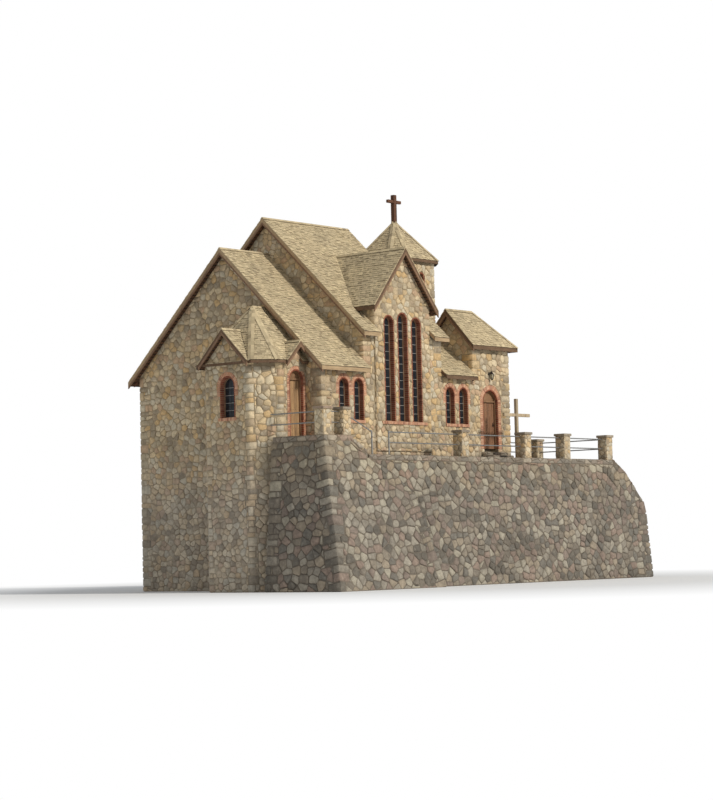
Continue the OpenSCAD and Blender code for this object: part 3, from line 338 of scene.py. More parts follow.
class Opening:
    """A round-headed opening in a wall, with its wall's outward direction."""

    def __init__(self, low, high, recess, is_door):
        self.is_door = is_door
        size = high - low
        self.out = Vector((0, -1, 0)) if size.y < size.x else Vector((-1, 0, 0))
        middle = (low + high) / 2
        middle.z = high.z - 0.25
        reach = []
        for sign in (1, -1):
            hit = Site.tree.ray_cast(middle + self.out * sign * 0.3, self.out * sign, 40.0)
            reach.append(hit[3] if hit[0] is not None else 99.0)
        if reach[1] > reach[0]:
            self.out = -self.out
        self.u = Vector((-self.out.y, self.out.x, 0))
        self.wide = abs(self.u.dot(size))
        self.foot = low.z
        self.head = high.z
        self.spring = self.head - self.wide / 2
        self.offset = max(self.out.dot(low), self.out.dot(high)) + recess
        self.mid = self.u.dot((low + high) / 2)
        self.room = 0.05
        while self.room < 0.4 and self.backed(self.room + 0.02):
            self.room += 0.01

    def spot(self, u, z, lift=0.0):
        return self.u * u + UP * z + self.out * (self.offset + lift)

    def backed(self, aside):
        """Whether the wall still runs this far to both sides of the opening."""
        half, height = self.wide / 2 + aside, (self.foot + self.head) / 2
        spots = [self.spot(self.mid + side * half, height, 0.05) for side in (-1, 1)]
        return all(Site.meets(spot, -self.out, 0.08) for spot in spots)

    def path(self, grow, foot):
        """Points (u, z) and directions away from the opening, from left foot to right foot."""
        reach = self.wide / 2 + grow
        row = [((self.mid - self.wide / 2 - grow, foot), (-1, 0))]
        for k in range(ARCH_STEPS + 1):
            turn = math.pi * (1 - k / ARCH_STEPS)
            away = (math.cos(turn), math.sin(turn))
            row.append(((self.mid + away[0] * reach, self.spring + away[1] * reach), away))
        row.append(((self.mid + self.wide / 2 + grow, foot), (1, 0)))
        return row

    def ring(self, sizes):
        """Width of the brick ring on the wall face, and the height it starts at."""
        if self.is_door:
            return min(sizes.door_ring, self.room), self.foot
        if self.wide < SLIM or self.head - self.foot > LANCET:
            return sizes.lining, self.foot
        return sizes.window_ring, self.spring - ARCH_FOOT

    def outline(self, sizes):
        """The opening and its brickwork, as one outline (u, z)."""
        wide, start = self.ring(sizes)
        ring = [p for p, _ in self.path(wide, start)]
        if start == self.foot:
            return ring
        lined = self.path(sizes.lining, self.foot)
        left, right = lined[0][0][0], lined[-1][0][0]
        return [(left, self.foot), (left, start), *ring, (right, start), (right, self.foot)]

    def beside(self, spot):
        """How far a spot lies beside the opening and behind its wall face."""
        return (abs(self.u.dot(spot) - self.mid) - self.wide / 2,
                self.offset - self.out.dot(spot))


class Site:
    """The frame's search tree and openings, worked out once."""

    tree = None
    windows = []
    openings = []

    @classmethod
    def survey(cls, sizes):
        if cls.tree is None:
            tris = np.concatenate([node_triangles(n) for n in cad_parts])
            spots = [tuple(p) for p in tris.reshape(-1, 3)]
            ids = [(i, i + 1, i + 2) for i in range(0, len(spots), 3)]
            cls.tree = BVHTree.FromPolygons(spots, ids)
            cls.windows = [Opening(*box, sizes.window_reveal, False)
                           for box in solid_boxes("window_frames")]
            doors = [Opening(*box, sizes.door_recess, True) for box in solid_boxes("door_frames")]
            cls.openings = cls.windows + doors

    @classmethod
    def meets(cls, start, way, far):
        return cls.tree.ray_cast(start, way, far)[0] is not None


def open_air(spot, out):
    """Whether a spot on a face has sky before it, and nothing standing right against it."""
    start = spot + out * SKIN
    if Site.meets(start, out, CLEAR):
        return False
    side = out.cross(UP)
    side = side.normalized() if side.length > 0.1 else Vector((1, 0, 0))
    return any(not Site.meets(start, (out + side * lean + UP * rise).normalized(), SKY)
               for lean, rise in SKY_WAYS)


def is_reveal(face, openings):
    """Whether a face is the side or the head of an opening."""
    spots = [face.spot(*p) for p in face.loops[0]]
    heights = [p.z for p in spots]
    for opening in openings:
        if abs(opening.out.dot(face.out)) > 0.3:
            continue
        aside, behind = zip(*(opening.beside(p) for p in spots))
        near = max(aside) < 0.05 and min(heights) < opening.head and max(heights) > opening.foot
        if abs(face.out.z) < 0.05:
            near = near and min(aside) > -0.05
        if near and min(behind) < 0.3 and max(behind) > 0.02:
            return True
    return False


def at_brickwork(spot, openings, sizes):
    """Whether a spot on a wall's corner lies beside an opening or its brick ring."""
    for opening in openings:
        wide, start = opening.ring(sizes)
        aside, behind = opening.beside(spot)
        if aside < wide + 0.04 and abs(behind) < 0.12 and start - 0.1 < spot.z < opening.head + wide:
            return True
    return False


# Outlines of stones


def clip_half(poly, mx, my, dx, dy):
    """The part of a polygon on the near side of a line through m across d."""
    out = []
    before = [(x - mx) * dx + (y - my) * dy for x, y in poly]
    for (p, a), (q, b) in sides(list(zip(poly, before))):
        if a <= 0:
            out.append(p)
        if (a < 0 < b) or (b < 0 < a):
            t = a / (a - b)
            out.append((p[0] + (q[0] - p[0]) * t, p[1] + (q[1] - p[1]) * t))
    return out


def lay_cells(low, high, wide, tall, rng, usable=None, loose=0.36):
    """Stone outlines as uneven cells over a box in the plane."""
    seeds = []
    y = low[1] - tall
    while y < high[1] + tall:
        x = low[0] - wide * (1 + rng.random())
        while x < high[0] + wide:
            step = wide * rng.uniform(0.62, 1.45)
            seeds.append((
                x + step / 2 + rng.uniform(-0.2, 0.2) * wide,
                y + rng.uniform(-loose, loose) * tall,
                rng.uniform(0, 0.10) * wide * tall,
            ))
            x += step
        y += tall * rng.uniform(0.85, 1.15)
    reach = 2.3 * wide
    grid = {}
    for i, (x, y, _) in enumerate(seeds):
        grid.setdefault((int(x // reach), int(y // reach)), []).append(i)
    cells = []
    for i, (x, y, heavy) in enumerate(seeds):
        if usable and not usable(x, y):
            continue
        gx, gy = int(x // reach), int(y // reach)
        squares = product((gx - 1, gx, gx + 1), (gy - 1, gy, gy + 1))
        near = [j for square in squares for j in grid.get(square, ()) if j != i]
        poly = [(x - reach, y - reach), (x + reach, y - reach),
                (x + reach, y + reach), (x - reach, y + reach)]
        order = sorted(((seeds[j][0] - x) ** 2 + (seeds[j][1] - y) ** 2, j) for j in near)
        for far, j in order[:NEAREST]:
            dx, dy = seeds[j][0] - x, seeds[j][1] - y
            share = 0.5 + (heavy - seeds[j][2]) / (2 * max(far, 1e-6))
            share = min(max(share, 0.3), 0.7)
            poly = clip_half(poly, x + dx * share, y + dy * share, dx, dy)
            if len(poly) < 3:
                break
        if len(poly) >= 3:
            cells.append(poly)
    return cells


def cut_cells(cells, loops, taken=()):
    """Cells cut to the loops, without what lies inside the taken outlines."""
    verts, faces, edges = [], [], []
    for cell in cells:
        faces.append(tuple(range(len(verts), len(verts) + len(cell))))
        verts.extend(cell)
    for loop in [*loops, *taken]:
        ids = list(range(len(verts), len(verts) + len(loop)))
        verts.extend(loop)
        edges.extend(sides(ids))
    made = geometry.delaunay_2d_cdt([Vector(p) for p in verts], edges, faces, 1, 1e-5, True)
    points, tris, owners = made[0], made[2], made[5]
    spots = np.array([tuple(p) for p in points])[np.array(tris, int).reshape(-1, 3)]
    middles = spots.sum(1) / 3
    good = inside_loops(middles, loops)
    for outline in taken:
        good &= ~inside_loops(middles, [outline])
    groups = {}
    for tri, owner, fine in zip(tris, owners, good):
        if fine and owner:
            groups.setdefault(owner[0], []).append(tri)
    found = [drop_straight(loop) for owner in sorted(groups) for loop in rim(points, groups[owner])]
    return [loop for loop in found if len(loop) > 2]


def convex_parts(poly, smallest=0.003, left=8):
    """A stone outline split along the sides of its hollow corners, without scraps."""
    for (x0, y0), (x1, y1), (x2, y2) in turns(poly):
        ax, ay, bx, by = x1 - x0, y1 - y0, x2 - x1, y2 - y1
        hollow = ax * by - ay * bx < -0.35 * math.hypot(ax, ay) * math.hypot(bx, by)
        if not hollow or not left:
            continue
        best = []
        for dx, dy in ((ay, -ax), (by, -bx)):
            halves = [clip_half(poly, x1, y1, dx * side, dy * side) for side in (1, -1)]
            halves = [drop_straight(half) for half in halves]
            halves = [half for half in halves if len(half) > 2 and signed_area(half) > smallest]
            if max(map(signed_area, halves), default=0) > max(map(signed_area, best), default=0):
                best = halves
        return [part for half in best for part in convex_parts(half, smallest, left - 1)]
    return [poly]


def inset(poly, gap):
    """A polygon moved inwards by an even distance, or None where it would fold."""
    out = []
    for (x0, y0), (x1, y1), (x2, y2) in turns(poly):
        ax, ay, bx, by = x1 - x0, y1 - y0, x2 - x1, y2 - y1
        la, lb = math.hypot(ax, ay), math.hypot(bx, by)
        if la < 1e-6 or lb < 1e-6:
            return None
        nx, ny = -ay / la - by / lb, ax / la + bx / lb
        size = math.hypot(nx, ny)
        if size < 0.2:
            return None
        reach = min(gap * 2 / size, gap * 2.2)
        out.append((x1 + nx / size * reach, y1 + ny / size * reach))
    for (p, q), (moved_p, moved_q) in zip(sides(poly), sides(out)):
        dot = (q[0] - p[0]) * (moved_q[0] - moved_p[0])
        dot += (q[1] - p[1]) * (moved_q[1] - moved_p[1])
        if dot <= 0:
            return None
    return out


def shrink(poly, gap):
    """A polygon moved inwards, or drawn towards its middle where that would fold it."""
    moved = inset(poly, gap)
    if moved is not None:
        return moved
    cx, cy = centre(poly)
    reach = sum(math.hypot(x - cx, y - cy) for x, y in poly) / len(poly)
    share = max(1 - 1.3 * gap / max(reach, 1e-6), 0.4)
    return [(cx + (x - cx) * share, cy + (y - cy) * share) for x, y in poly]


def tidy_polygon(poly, shortest):
    """A polygon without edges shorter than a given length."""
    out = []
    for p in poly:
        if not out or math.dist(p, out[-1]) > shortest:
            out.append(p)
    if len(out) > 2 and math.dist(out[0], out[-1]) <= shortest:
        out.pop()
    return out


def round_corners(poly, share, most):
    """A polygon with each corner cut off."""
    out = []
    for before, (x1, y1), after in turns(poly):
        for x2, y2 in (before, after):
            t = min(share, most / max(math.hypot(x2 - x1, y2 - y1), 1e-9))
            out.append((x1 + (x2 - x1) * t, y1 + (y2 - y1) * t))
    return out


# Meshes of separate shapes


def block_pattern():
    """Corners of a block with cut edges, as (high or low on each axis, full axis), and faces."""
    corners = [(ends, axis) for ends in product((0, 1), repeat=3) for axis in range(3)]
    spots = [Vector([(2 * end - 1) * (1 if n == axis else 0.8) for n, end in enumerate(ends)])
             for ends, axis in corners]
    faces = []
    for way in product((-1, 0, 1), repeat=3):
        ids = [i for i, (ends, axis) in enumerate(corners)
               if way[axis] and all(not way[n] or way[n] == 2 * ends[n] - 1 for n in range(3))]
        if ids:
            middle = sum((spots[i] for i in ids), Vector()) / len(ids)
            across = spots[ids[0]] - middle
            over = Vector(way).normalized().cross(across)
            ids.sort(key=lambda i: math.atan2((spots[i] - middle).dot(over),
                                              (spots[i] - middle).dot(across)))
            faces.append(ids)
    return corners, faces


BLOCK_CORNERS, BLOCK_FACES = block_pattern()


def in_box(spots):
    """Points kept just inside the frame's box."""
    return np.clip(spots, np.array(CAD_BOX[0]) + 1e-4, np.array(CAD_BOX[1]) - 1e-4)


def place(name, mesh, body, slot):
    """A finished mesh as a piece that rides on a body."""
    obj = bpy.data.objects.new(name, mesh)
    bpy.context.scene.collection.objects.link(obj)
    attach(obj, body)
    return obj


class Heap:
    """Vertices, faces and tints of one mesh while it is being built."""

    def __init__(self):
        self.verts = []
        self.faces = []
        self.tints = []

    def add(self, verts, faces, tint):
        start = len(self.verts)
        self.verts.extend(verts)
        self.faces.extend(tuple(start + i for i in face) for face in faces)
        self.tints.extend([tint] * len(verts))

    def add_rings(self, rings, tint=0.5, ends=(), peak=None, joined=False):
        """Rings of points with walls between them, closed by flat ends or a peak."""
        verts = [p for ring in rings for p in ring]
        count, last = len(rings[0]), len(verts) - len(rings[0])
        around = list(sides(list(range(count))))
        faces = []
        for row in range(0, last + (count if joined else 0), count):
            above = (row + count) % len(verts)
            faces.extend((row + i, row + j, above + j, above + i) for i, j in around)
        if "foot" in ends:
            faces.append(tuple(reversed(range(count))))
        if "head" in ends:
            faces.append(tuple(range(last, last + count)))
        if peak is not None:
            faces.extend((last + i, last + j, len(verts)) for i, j in around)
            verts.append(peak)
        self.add(verts, faces, tint)

    def add_stone(self, face, poly, rise, gap, bevel, crown, tint, rng, rounding=0.24):
        """A stone with rounded shoulders and a slightly leaning, crowned top."""
        poly = tidy_polygon(poly, 0.022)
        if len(poly) < 3:
            return
        poly = tidy_polygon(round_corners(poly, rounding, 0.05), 0.006)
        foot = shrink(poly, gap / 2)
        top = shrink(foot, bevel)
        if signed_area(top) < 0.0006:
            return
        cx, cy = centre(top)
        lean_x, lean_y = rng.uniform(-0.06, 0.06), rng.uniform(-0.06, 0.06)

        def leaning(ring, full):
            slopes = [(x - cx) * lean_x + (y - cy) * lean_y for x, y in ring]
            return [face.spot(x, y, full + min(max(slope, -0.006), 0.006))
                    for (x, y), slope in zip(ring, slopes)]

        star = all((x0 - cx) * (y1 - cy) - (x1 - cx) * (y0 - cy) > 0
                   for (x0, y0), (x1, y1) in sides(top))
        rings = [
            [face.spot(x, y, -SUNK) for x, y in foot],
            leaning(shrink(foot, bevel * 0.3), rise * 0.62),
            leaning(top, rise),
        ]
        peak = face.spot(cx, cy, rise + crown) if star else None
        self.add_rings(rings, tint, () if star else ("head",), peak)

    def add_quoin(self, corner, low, high, long_a, long_b, rise, gap, tint, rng):
        """A corner stone that wraps the edge between two faces."""
        a, b, into_a, into_b = corner.a.out, corner.b.out, corner.into_a, corner.into_b
        tip = (a + b) * (rise / (1 + a.dot(b)))
        bevel = rise * 0.8
        verts = []
        for at, raised in (
            (low + gap / 2, False), (low + gap / 2 + bevel, True),
            (high - gap / 2 - bevel, True), (high - gap / 2, False),
        ):
            edge = corner.foot + corner.along * at
            slant = rng.uniform(-0.012, 0.012)
            far_a = into_a * (long_a - gap / 2 + slant)
            far_b = into_b * (long_b - gap / 2 + slant)
            lift = rise if raised else -SUNK
            near = tip if raised else (a + b) * -SUNK
            verts.extend([
                edge + far_a - a * SUNK, edge + far_a - into_a * bevel + a * lift,
                edge + near + into_a * 0.02, edge + near + into_b * 0.02,
                edge + far_b - into_b * bevel + b * lift, edge + far_b - b * SUNK,
            ])
        quads = [(at, at + 1, at + 7, at + 6) for at in range(17) if at % 6 < 5]
        if into_a.cross(corner.along).dot(a) > 0:
            quads = [tuple(reversed(quad)) for quad in quads]
        self.add(verts, quads, tint)

    def add_block(self, low, high, chamfer, tint, turn=None):
        """A closed box with chamfered edges, from its lowest to its highest corner."""
        verts = []
        for ends, full in BLOCK_CORNERS:
            spot = Vector((0, 0, 0))
            for axis, end in enumerate(ends):
                cut = 0.0 if axis == full else chamfer
                spot[axis] = high[axis] - cut if end else low[axis] + cut
            verts.append(turn @ spot if turn else spot)
        mirrored = turn is not None and turn.determinant() < 0
        self.add(verts, [face[::-1] if mirrored else face for face in BLOCK_FACES], tint)

    def add_bar(self, a, b, half):
        """A square bar between two points."""
        along = (b - a).normalized()
        side = along.cross(UP if abs(along.z) < 0.9 else Vector((1, 0, 0))).normalized()
        other = along.cross(side)
        self.add_rings([[spot + side * x * half + other * y * half
                         for x, y in ((-1, -1), (1, -1), (1, 1), (-1, 1))] for spot in (a, b)],
                       ends=("foot", "head"))

    def piece(self, name, finish, slot, body="chapel", smooth=False):
        """The heap as a piece on a body."""
        mesh = bpy.data.meshes.new(name)
        mesh.from_pydata(in_box(np.array([tuple(p) for p in self.verts])).tolist(), [], self.faces)
        mesh.validate()
        tint = mesh.attributes.new("tint", "FLOAT", "POINT")
        tint.data.foreach_set("value", self.tints)
        mesh.polygons.foreach_set("use_smooth", [smooth] * len(mesh.polygons))
        mesh.materials.append(FINISHES[finish])
        return place(name, mesh, body, slot)


# Node trees


def paint(red, green, blue):
    """A linear colour from its 8-bit screen values."""
    levels = (red / 255, green / 255, blue / 255)
    linear = [v / 12.92 if v <= 0.04045 else ((v + 0.055) / 1.055) ** 2.4 for v in levels]
    return (*linear, 1.0)


class Web:
    """Adds and joins the nodes of one node tree."""

    def __init__(self, tree):
        self.nodes = tree.nodes
        self.links = tree.links

    def feed(self, socket, value):
        if isinstance(value, bpy.types.NodeSocket):
            self.links.new(value, socket)
        else:
            socket.default_value = value

    def add(self, kind, *fed, **values):
        """A new node's outputs. Its inputs are fed in order or by name, after its settings."""
        node = self.nodes.new(kind)
        named = {}
        for key, value in values.items():
            if hasattr(node, key):
                setattr(node, key, value)
            else:
                named[key.replace("_", " ")] = value
        for key, value in [*enumerate(fed), *named.items()]:
            self.feed(node.inputs[key], value)
        return node.outputs

    def maths(self, operation, a, b=0.5, clamp=False):
        return self.add("ShaderNodeMath", a, b, operation=operation, use_clamp=clamp)[0]

    def plus(self, a, b):
        return self.maths("ADD", a, b)

    def minus(self, a, b):
        return self.maths("SUBTRACT", a, b)

    def times(self, a, b):
        return self.maths("MULTIPLY", a, b)

    def above(self, a, b, steep):
        """A mask from 0 to 1 of how far a lies above b."""
        return self.maths("MULTIPLY", self.minus(a, b), steep, True)

    def vector(self, operation, a, b):
        return self.add("ShaderNodeVectorMath", a, b, operation=operation)[0]

    def spot(self):
        return self.add("ShaderNodeTexCoord")["Object"]

    def noise(self, where, scale, detail=4.0, rough=0.55):
        return self.add("ShaderNodeTexNoise", Vector=where, Scale=scale, Detail=detail,
                        Roughness=rough)["Fac"]

    def stretch(self, where, scale):
        return self.add("ShaderNodeMapping", Vector=where, Scale=scale)[0]

    def blend(self, factor, a, b, mode="MIX"):
        mixed = self.add("ShaderNodeMix", factor, data_type="RGBA", blend_type=mode)[2]
        self.feed(mixed.node.inputs[6], a)
        self.feed(mixed.node.inputs[7], b)
        return mixed

    def ramp(self, factor, stops, sharp=False):
        colour = self.add("ShaderNodeValToRGB", factor)[0]
        band = colour.node.color_ramp
        band.interpolation = "CONSTANT" if sharp else "LINEAR"
        while len(band.elements) < len(stops):
            band.elements.new(0.5)
        for mark, (spot, shade) in zip(band.elements, stops):
            mark.position = spot
            mark.color = shade
        return colour

    def shade(self, colour, factor, low, high, share=1.0):
        """A colour times a ramp between two marks, each a place and what the colour gets."""
        stops = [(low[0], (*low[1:], 1)), (high[0], (*high[1:], 1))]
        return self.blend(share, colour, self.ramp(factor, stops), "MULTIPLY")

    def group(self, name, **values):
        return self.add("ShaderNodeGroup", node_tree=bpy.data.node_groups[name], **values)


def new_tree(name, kind, inputs, outputs):
    """A node tree with named inputs and outputs: its web, and what it is given."""
    tree = bpy.data.node_groups.new(name, kind)
    for in_out, rows in (("INPUT", inputs), ("OUTPUT", outputs)):
        for label, sort, *value in rows:
            socket = tree.interface.new_socket(name=label, in_out=in_out,
                                               socket_type="NodeSocket" + sort)
            if value:
                socket.default_value = value[0]
    web = Web(tree)
    return web, web.add("NodeGroupInput")


def make_weather_group():
    """Soft stains, rain streaks and pale dust over a colour."""
    web, given = new_tree(
        "weathering", "ShaderNodeTree",
        [("Colour", "Color", (0.5, 0.5, 0.5, 1)), ("Stain", "Float", 0.3), ("Dust", "Float", 0.2),
         ("Size", "Float", 1.0)],
        [("Colour", "Color")],
    )
    where = web.spot()
    size = given["Size"]
    broad = web.noise(where, web.times(size, 0.7), 5.0)
    streak = web.noise(web.stretch(where, (3.0, 3.0, 0.35)), size, 3.0)
    dark = web.maths("MAXIMUM", web.above(broad, 0.42, 3.0), web.above(streak, 0.5, 2.4))
    dark = web.times(dark, given["Stain"])
    low = web.blend(dark, given["Colour"], paint(70, 62, 52), "MULTIPLY")
    fine = web.noise(where, web.times(size, 9.0), 6.0)
    dusty = web.times(web.above(fine, 0.55, 3.0), given["Dust"])
    web.add("NodeGroupOutput", web.blend(dusty, low, paint(205, 196, 178), "SCREEN"))


def make_ground_group():
    """A colour that turns greyer and a little darker towards the ground."""
    web, given = new_tree(
        "near_ground", "ShaderNodeTree",
        [("Colour", "Color", (0.5, 0.5, 0.5, 1)), ("Top", "Float", 6.0), ("Reach", "Float", 3.0)],
        [("Colour", "Color")],
    )
    where = web.spot()
    height = web.add("ShaderNodeSeparateXYZ", where)[2]
    ragged = web.times(web.noise(where, 0.8, 3.0), 1.6)
    below = web.minus(given["Top"], web.plus(height, ragged))
    share = web.maths("DIVIDE", below, given["Reach"], True)
    dull = web.add("ShaderNodeHueSaturation", Saturation=0.72, Value=0.80, Color=given["Colour"])[0]
    web.add("NodeGroupOutput", web.blend(share, given["Colour"], dull))


def make_grit_group():
    """Fine and coarse surface relief, as a height and a matching mask."""
    web, given = new_tree(
        "surface_grit", "ShaderNodeTree",
        [("Size", "Float", 20.0), ("Coarse", "Float", 0.5)],
        [("Height", "Float"), ("Pits", "Float")],
    )
    where = web.spot()
    fine = web.noise(where, given["Size"], 8.0, 0.65)
    slow = web.noise(where, web.times(given["Size"], 0.22), 3.0)
    height = web.plus(web.times(slow, given["Coarse"]), fine)
    web.add("NodeGroupOutput", height, web.above(0.46, fine, 6.0))


def make_grain_group():
    """Long wood grain along one axis, with rings of darker late wood."""
    web, given = new_tree(
        "wood_grain", "ShaderNodeTree",
        [("Lengthways", "Vector", (1.0, 1.0, 0.08)), ("Size", "Float", 14.0),
         ("Shift", "Float", 0.0)],
        [("Grain", "Float"), ("Height", "Float")],
    )
    moved = web.vector("ADD", web.spot(), web.times(given["Shift"], 7.3))
    scaled = web.vector("MULTIPLY", moved, given["Lengthways"])
    lines = web.noise(scaled, given["Size"], 6.0, 0.6)
    rings = web.noise(scaled, web.times(given["Size"], 4.0), 2.0)
    web.add("NodeGroupOutput", web.plus(web.times(lines, 0.7), web.times(rings, 0.3)), rings)


def make_unit_tree():
    """Sets a small chamfered block on each point of a guide, or evenly along its lines."""
    web, given = new_tree(
        "laid_units", "GeometryNodeTree",
        [("Geometry", "Geometry"), ("Follow Lines", "Bool", True), ("Pitch", "Float", 0.2),
         ("Size", "Vector", (0.1, 0.1, 0.1)), ("Chamfer", "Float", 0.004), ("Lift", "Float", 0.0),
         ("Tilt", "Float", 0.0), ("Uneven", "Float", 0.0), ("Seed", "Int", 1),
         ("Finish", "Material")],
        [("Geometry", "Geometry")],
    )
    chamfer, uneven = given["Chamfer"], given["Uneven"]

    def pack(x, y, z):
        return web.add("ShaderNodeCombineXYZ", x, y, z)[0]

    def kept(name):
        return web.add("GeometryNodeInputNamedAttribute", data_type="FLOAT_VECTOR",
                       Name=name)["Attribute"]

    def chance(low, high, shift):
        made = web.add("FunctionNodeRandomValue", data_type="FLOAT",
                       Seed=web.plus(given["Seed"], shift))[1]
        web.feed(made.node.inputs[2], low)
        web.feed(made.node.inputs[3], high)
        return made

    lines = web.add("GeometryNodeMeshToCurve", given["Geometry"])[0]
    lines = web.add("GeometryNodeResampleCurve", mode="LENGTH", Curve=lines,
                    Length=given["Pitch"])[0]
    points = web.add("GeometryNodeCurveToPoints", lines, mode="EVALUATED")[0]
    single = web.add("GeometryNodeMeshToPoints", given["Geometry"])[0]
    chosen = web.add("GeometryNodeSwitch", given["Follow Lines"], single, points,
                     input_type="GEOMETRY")[0]
    outward, across, share = kept("outward"), kept("across"), kept("share")
    lift = web.add("ShaderNodeVectorMath", outward, operation="SCALE", Scale=given["Lift"])[0]
    chosen = web.add("GeometryNodeSetPosition", Geometry=chosen, Offset=lift)[0]

    x, y, z = web.add("ShaderNodeSeparateXYZ", given["Size"])
    cube = web.add("GeometryNodeMeshCube", Size=pack(x, y, web.minus(z, chamfer)))["Mesh"]
    normal = web.add("GeometryNodeInputNormal")[0]
    upward = web.maths("GREATER_THAN", web.add("ShaderNodeSeparateXYZ", normal)[2], 0.5)
    pushed = web.add("GeometryNodeExtrudeMesh", mode="FACES", Mesh=cube, Selection=upward,
                     Offset_Scale=chamfer)
    cut = web.maths("DIVIDE", web.times(chamfer, 2.0), x)
    unit = web.add("GeometryNodeScaleElements", domain="FACE", scale_mode="UNIFORM",
                   Geometry=pushed["Mesh"], Selection=pushed["Top"], Scale=web.minus(1.0, cut))[0]

    turn = web.add("FunctionNodeAxesToRotation", primary_axis="Z", secondary_axis="Y",
                   Primary_Axis=outward, Secondary_Axis=across)[0]
    low = web.times(uneven, -1.0)
    shake = web.add("FunctionNodeRandomValue", pack(low, low, low), pack(uneven, uneven, uneven),
                    data_type="FLOAT_VECTOR", Seed=given["Seed"])[0]
    lean = web.vector("ADD", shake, pack(given["Tilt"], 0, 0))
    lean = web.add("FunctionNodeEulerToRotation", lean)[0]
    turn = web.add("FunctionNodeRotateRotation", rotation_space="LOCAL", Rotation=turn,
                   Rotate_By=lean)[0]
    spread = web.times(uneven, 3.0)
    thick = chance(web.minus(1.0, spread), web.plus(1.0, spread), 3.0)
    laid = web.add("GeometryNodeInstanceOnPoints", Points=chosen, Instance=unit, Rotation=turn,
                   Scale=web.vector("MULTIPLY", share, pack(1.0, 1.0, thick)))[0]
    laid = web.add("GeometryNodeStoreNamedAttribute", data_type="FLOAT", domain="INSTANCE",
                   Name="tint", Geometry=laid, Value=chance(0.0, 1.0, 9.0))[0]
    laid = web.add("GeometryNodeRealizeInstances", laid)[0]
    laid = web.add("GeometryNodeSetMaterial", Geometry=laid, Material=given["Finish"])[0]
    web.add("NodeGroupOutput", laid)


class Guide:
    """Points or lines that units are laid on, with their directions and shares of the size."""

    def __init__(self):
        self.spots = []
        self.edges = []
        self.rows = {"outward": [], "across": [], "share": []}

    def point(self, spot, outward, across, share=(1.0, 1.0, 1.0)):
        self.spots.append(tuple(spot))
        for row, value in zip(self.rows.values(), (outward, across, share)):
            row.append(tuple(value))

    def line(self, spots, outward, across, share=(1.0, 1.0, 1.0)):
        """A line of points with one outward direction, and across each its own."""
        start = len(self.spots)
        for spot, side in zip(spots, across):
            self.point(spot, outward, side, share)
        self.edges.extend((i, i + 1) for i in range(start, len(self.spots) - 1))

    def lay(self, name, finish, slot, **values):
        """Runs the unit tree over the guide and keeps the result as a plain mesh."""
        mesh = bpy.data.meshes.new(name + "_guide")
        mesh.from_pydata(self.spots, self.edges, [])
        for label, rows in self.rows.items():
            column = mesh.attributes.new(label, "FLOAT_VECTOR", "POINT")
            column.data.foreach_set("vector", [c for row in rows for c in row])
        guide = bpy.data.objects.new(name + "_guide", mesh)
        bpy.context.scene.collection.objects.link(guide)
        modifier = guide.modifiers.new("units", "NODES")
        modifier.node_group = bpy.data.node_groups["laid_units"]
        values.update({"Finish": FINISHES[finish], "Follow Lines": bool(self.edges)})
        for item in modifier.node_group.interface.items_tree:
            if item.in_out == "INPUT" and item.name in values:
                modifier[item.identifier] = values[item.name]
        graph = bpy.context.evaluated_depsgraph_get()
        made = bpy.data.meshes.new_from_object(guide.evaluated_get(graph), depsgraph=graph)
        made.name = name
        guide.modifiers.remove(modifier)
        bpy.data.objects.remove(guide)
        if not len(made.polygons):
            raise RuntimeError(f"no units were laid for {name}")
        spots = np.zeros(len(made.vertices) * 3, np.float32)
        made.vertices.foreach_get("co", spots)
        made.vertices.foreach_set("co", in_box(spots.reshape(-1, 3)).ravel())
        made.polygons.foreach_set("use_smooth", [False] * len(made.polygons))
        return place(name, made, "chapel", slot)


# Finishes

FIELD = (
    (224, 208, 178), (210, 190, 158), (196, 182, 156), (220, 198, 160), (204, 176, 146),
    (210, 200, 178), (214, 184, 138), (186, 168, 142), (222, 204, 172), (172, 158, 136),
    (212, 188, 150), (204, 190, 166),
)
RUBBLE = (
    (164, 154, 136), (146, 134, 116), (180, 170, 150), (166, 140, 120), (136, 130, 118),
    (176, 158, 130), (154, 134, 118), (188, 178, 154), (126, 118, 104), (160, 146, 124),
)
SLABS = ((166, 156, 140), (150, 138, 124), (176, 164, 146), (162, 142, 126), (144, 136, 124))
BRICKS = (
    (0.0, 198, 148, 118), (0.25, 212, 162, 130), (0.5, 218, 176, 146), (0.75, 196, 148, 122),
    (0.92, 170, 122, 100),
)
SHINGLES = (
    (0.0, 166, 150, 122), (0.12, 186, 170, 138), (0.5, 208, 190, 155), (0.8, 196, 179, 147),
    (0.95, 220, 202, 165),
)
# Name, early and late wood, length of the grain, and whether each board has its own tone
WOODS = (
    ("beam_wood", (112, 74, 52), (70, 46, 34), 0.08, True),
    ("frame_wood", (150, 114, 82), (106, 76, 52), 0.06, False),
    ("door_wood", (142, 104, 76), (96, 64, 44), 0.06, True),
    ("grey_door_wood", (178, 144, 104), (124, 94, 64), 0.06, True),
    ("pale_wood", (190, 172, 142), (142, 122, 96), 0.08, True),
)
